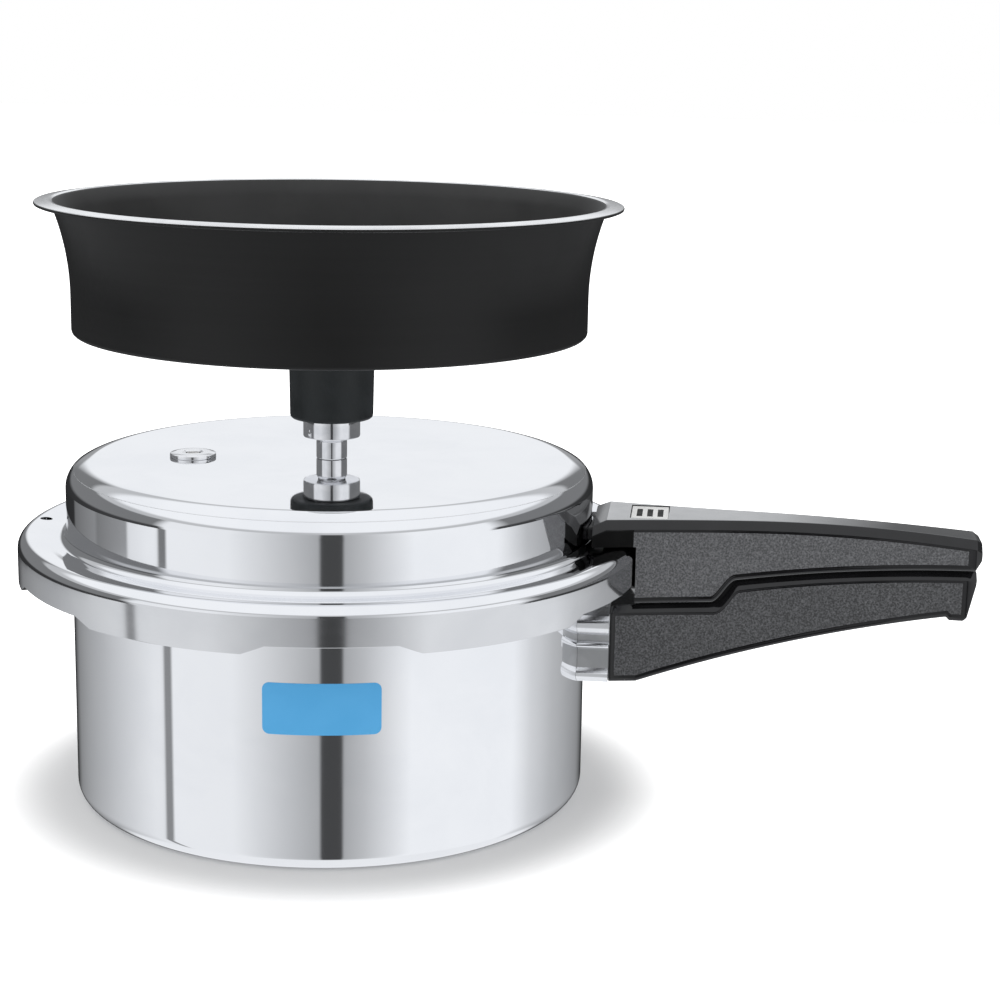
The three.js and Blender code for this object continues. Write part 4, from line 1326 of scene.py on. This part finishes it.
# Weight: a heavy turned steel body that sits on the vent's nozzle by a brass needle.
# A moulded cap is pressed on its stud, so that it can be lifted while hot.
weight_low, weight_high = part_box("weight_body")
weight_radius = weight_high.x
weight_top = weight_high.z - 4 * mm
weight_socket = vent_neck_radius + 1.2 * mm
weight_seat = vent_high.z + fit_gap
weight_stud = 4 * mm
groove_depth = 0.8 * mm
groove_levels = [weight_low.z + 6 * mm, weight_low.z + 12 * mm]
weight_rings = [
    (weight_socket, weight_seat, 0),
    (weight_socket, weight_low.z, 0.4 * mm),
    (weight_radius, weight_low.z, mm),
]
for level in groove_levels:
    weight_rings += [
        (weight_radius, level, 0.2 * mm),
        (weight_radius - groove_depth, level + 0.5 * mm, 0.2 * mm),
        (weight_radius - groove_depth, level + 1.3 * mm, 0.2 * mm),
        (weight_radius, level + 1.8 * mm, 0.2 * mm),
    ]
weight_rings += [
    (weight_radius, weight_top, mm),
    (weight_stud, weight_top, 0.4 * mm),
    (weight_stud, weight_high.z, 0.4 * mm),
    (1 * mm, weight_high.z, 0),
]
weight = turn("weight", weight_rings, 72)
smooth(weight)
coat(weight, turned_steel)
seat(weight, "weight", "steel", "weight_body")

needle_low, needle_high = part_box("weight_needle")
needle_stem = 1.3 * mm
needle = turn("needle", [
    (0.2 * mm, needle_low.z, 0),
    (needle_stem, needle_low.z + 0.6 * mm, 0.2 * mm),
    (needle_stem, weight_seat, 0),
    (needle_high.x, weight_seat, 0.2 * mm),
    (needle_high.x, needle_high.z, 0.3 * mm),
    (0.5 * mm, needle_high.z, 0),
], 40)
smooth(needle)
marks = placed(handling, Scale=200.0)
lines = placed(turning_lines, Density=1800.0)
brass = finish(
    "turned_brass", (marks, (0.72, 0.53, 0.24), (0.58, 0.41, 0.17)), (lines, 0.18, 0.32),
    (lines, 0.004 * mm), Metallic=1.0,
)
coat(needle, brass)
seat(needle, "weight", "brass", "weight_needle")

cap_low, cap_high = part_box("weight_cap")
cap_radius = cap_high.x
flute_count = 12
flute_radius = 1.2 * mm
flute_set = 0.5 * mm
cap = turn("cap", [
    (2 * mm, cap_low.z, 0),
    (cap_radius, cap_low.z, 1.2 * mm),
    (cap_radius, cap_high.z, 2.8 * mm),
    (2 * mm, cap_high.z, 0),
], 96)
bpy.ops.object.mode_set(mode="OBJECT")
notch_round(cap, flute_count, flute_radius, cap_radius + flute_set, cap_low.z, cap_high.z, 24)
smooth(cap)
coat(cap, bakelite)
seat(cap, "weight", "bakelite", "weight_cap")

# Studio: a pale floor that stays white to the camera and keeps the cooker's soft shadow.
# One wide lamp hangs overhead, and the room round the metal has pale walls with dark gaps.
floor_size = 12
shadow_start = 0.104
shadow_end = 0.16
bpy.ops.object.select_all(action="DESELECT")
bpy.ops.mesh.primitive_plane_add(size=floor_size)
floor = bpy.context.object
floor.name = "floor"
floor_paint = bpy.data.materials.new("floor_paint")
floor_paint.use_nodes = True
tree = floor_paint.node_tree
paint = tree.nodes["Principled BSDF"]
paint.inputs["Base Color"].default_value = (0.8, 0.8, 0.8, 1)
paint.inputs["Roughness"].default_value = 0.9
paint.inputs["Specular IOR Level"].default_value = 0
# The floor glows to the camera only, more with distance from the cooker: this painted light leaves the
# floor near the cooker a little grey and fades the rendered shadow out into white.
place = put(tree, "TexCoord")
away = put(tree, "VectorMath", operation="LENGTH")
glow = put(
    tree, "MapRange", {"From Min": shadow_start, "From Max": shadow_end},
    interpolation_type="SMOOTHSTEP",
)
path = put(tree, "LightPath")
lift = put(tree, "Math", operation="MULTIPLY")
wire(
    tree, (place, "Object", away, 0), (away, "Value", glow, "Value"), (glow, "Result", lift, 0),
    (path, "Is Camera Ray", lift, 1), (lift, 0, paint, "Emission Strength"),
)
paint.inputs["Emission Color"].default_value = (1, 1, 1, 1)
floor.data.materials.append(floor_paint)
floor.visible_glossy = False

lamp = bpy.data.lights.new("overhead_lamp", "AREA")
lamp.shape = "RECTANGLE"
lamp.size = 1.6
lamp.size_y = 1.2
lamp.energy = 4
overhead = bpy.data.objects.new("overhead_lamp", lamp)
bpy.context.scene.collection.objects.link(overhead)
overhead.location = (-0.25, 0.1, 1.5)
overhead.visible_glossy = False

room = bpy.data.worlds.new("studio_room")
bpy.context.scene.world = room
room.use_nodes = True
tree = room.node_tree
background = tree.nodes["Background"]
place = put(tree, "TexCoord")
facing = put(tree, "Mapping", {"Rotation": (0, 0, -radians(camera_bearing))})
split = put(tree, "SeparateXYZ")
behind = put(tree, "Math", {1: -1.0}, operation="MULTIPLY")
bearing = put(tree, "Math", operation="ARCTAN2")
turn_share = put(tree, "MapRange", {"From Min": -pi, "From Max": pi})
wire(
    tree, (place, "Generated", facing, "Vector"), (facing, "Vector", split, 0), (split, "Y", behind, 0),
    (split, "X", bearing, 0), (behind, 0, bearing, 1), (bearing, 0, turn_share, "Value"),
)
front_tones = [
    (-44, 0.88), (-6, 0.44), (-4.8, 0.42), (-4.2, 0.065), (4.2, 0.065), (4.8, 0.42), (14, 0.55), (35, 0.95),
]


def wall_band(tones):
    """A band of wall round the room: grey tones by bearing from the camera, in degrees."""
    band = put(tree, "ValToRGB")
    while len(band.color_ramp.elements) < len(tones):
        band.color_ramp.elements.new(1)
    for element, (angle, tone) in zip(band.color_ramp.elements, tones):
        element.position = (angle + 180) / 360
        element.color = (tone * 0.985, tone * 1.005, tone * 1.035, 1)
    wire(tree, (turn_share, "Result", band, "Fac"))
    return band.outputs["Color"]


def above(low, high, under, over):
    """Changes one colour to another between two heights above the horizon, in degrees."""
    rise = put(
        tree, "MapRange", {"From Min": sin(radians(low)), "From Max": sin(radians(high))},
        interpolation_type="SMOOTHSTEP",
    )
    mix = put(tree, "Mix", data_type="RGBA")
    wire(tree, (split, "Z", rise, "Value"), (rise, "Result", mix, 0))
    tree.links.new(under, mix.inputs[6])
    tree.links.new(over, mix.inputs[7])
    return mix.outputs[2]


ground = wall_band([(-180, 0.9), (180, 0.9)])
low_walls = wall_band([
    (-180, 0.04), (-163, 0.05), (-152, 0.26), (-120, 0.5), (-84, 0.85), (-78.8, 0.85),
    (-78.2, 0.27), (-73.8, 0.27), (-73.2, 0.90), *front_tones,
    (88, 0.95), (100, 0.7), (117, 0.5), (150, 0.28), (163, 0.05), (180, 0.04),
])
middle_walls = wall_band([
    (-180, 0.02), (-145, 0.03), (-143, 0.16), (-120, 0.27), (-119, 0.2), (-97, 0.32), (-95.5, 0.8),
    (-84, 0.9), (-78.8, 0.9), (-78.2, 0.2), (-73.8, 0.2), (-73.2, 0.9), *front_tones,
    (75, 0.95), (92, 0.55), (120, 0.3), (150, 0.05), (180, 0.03),
])
dark_walls = wall_band([
    (-180, 0.02), (-77, 0.06), (-73, 0.9), *front_tones, (70, 0.95), (74, 0.06), (180, 0.02),
])


def upper_band(back):
    """The wall above eye level, with a given tone at the far end of the room."""
    return wall_band([
        (-180, back), (-168, back), (-163, 0.2), (-80, 0.2), (-74, 0.88), *front_tones,
        (70, 0.95), (80, 0.2), (163, 0.2), (168, back), (180, back),
    ])


cornice = wall_band([(-180, 0.55), (180, 0.55)])
ceiling = wall_band([(-180, 0.96), (180, 0.96)])
seen = above(-45, -36, ground, low_walls)
seen = above(-14.3, -13.7, seen, middle_walls)
seen = above(-12, -11.7, seen, dark_walls)
seen = above(-3, 3, seen, upper_band(0.35))
seen = above(7, 9.5, seen, upper_band(0.92))
seen = above(23, 26, seen, cornice)
seen = above(30, 36, seen, ceiling)
path = put(tree, "LightPath")
mirrored = put(tree, "Mix", {6: (1, 1, 1, 1)}, data_type="RGBA")
tree.links.new(seen, mirrored.inputs[7])
shown = put(tree, "Mix", {7: (1, 1, 1, 1)}, data_type="RGBA")
wire(
    tree, (path, "Is Glossy Ray", mirrored, 0), (path, "Is Camera Ray", shown, 0),
    (mirrored, 2, shown, 6), (shown, 2, background, "Color"),
)

# Camera: a longer lens a little above the bowl's rim, turned and tilted as the photograph was.
# Its lens, place and turn come from a fit to the bowl, the cooker and the handle.
camera_distance = 824.5 * mm
camera_height = 299.8 * mm
camera_pitch = 0.2205
camera_yaw = 0.0799
camera_roll = 0.018
camera_lens = 77.54
camera = bpy.data.objects.new("camera", bpy.data.cameras.new("camera"))
bpy.context.scene.collection.objects.link(camera)
camera.data.lens = camera_lens
camera.data.sensor_width = 36
camera.data.clip_start = 0.01
camera.location = (
    camera_distance * sin(radians(camera_bearing)),
    -camera_distance * cos(radians(camera_bearing)),
    camera_height,
)
aim = Matrix.Rotation(radians(camera_bearing) - camera_yaw, 3, "Z")
aim = aim @ Matrix.Rotation(pi / 2 - camera_pitch, 3, "X")
aim = aim @ Matrix.Rotation(camera_roll, 3, "Z")
camera.rotation_euler = aim.to_euler()
bpy.context.scene.camera = camera
bpy.context.scene.view_settings.view_transform = "Standard"
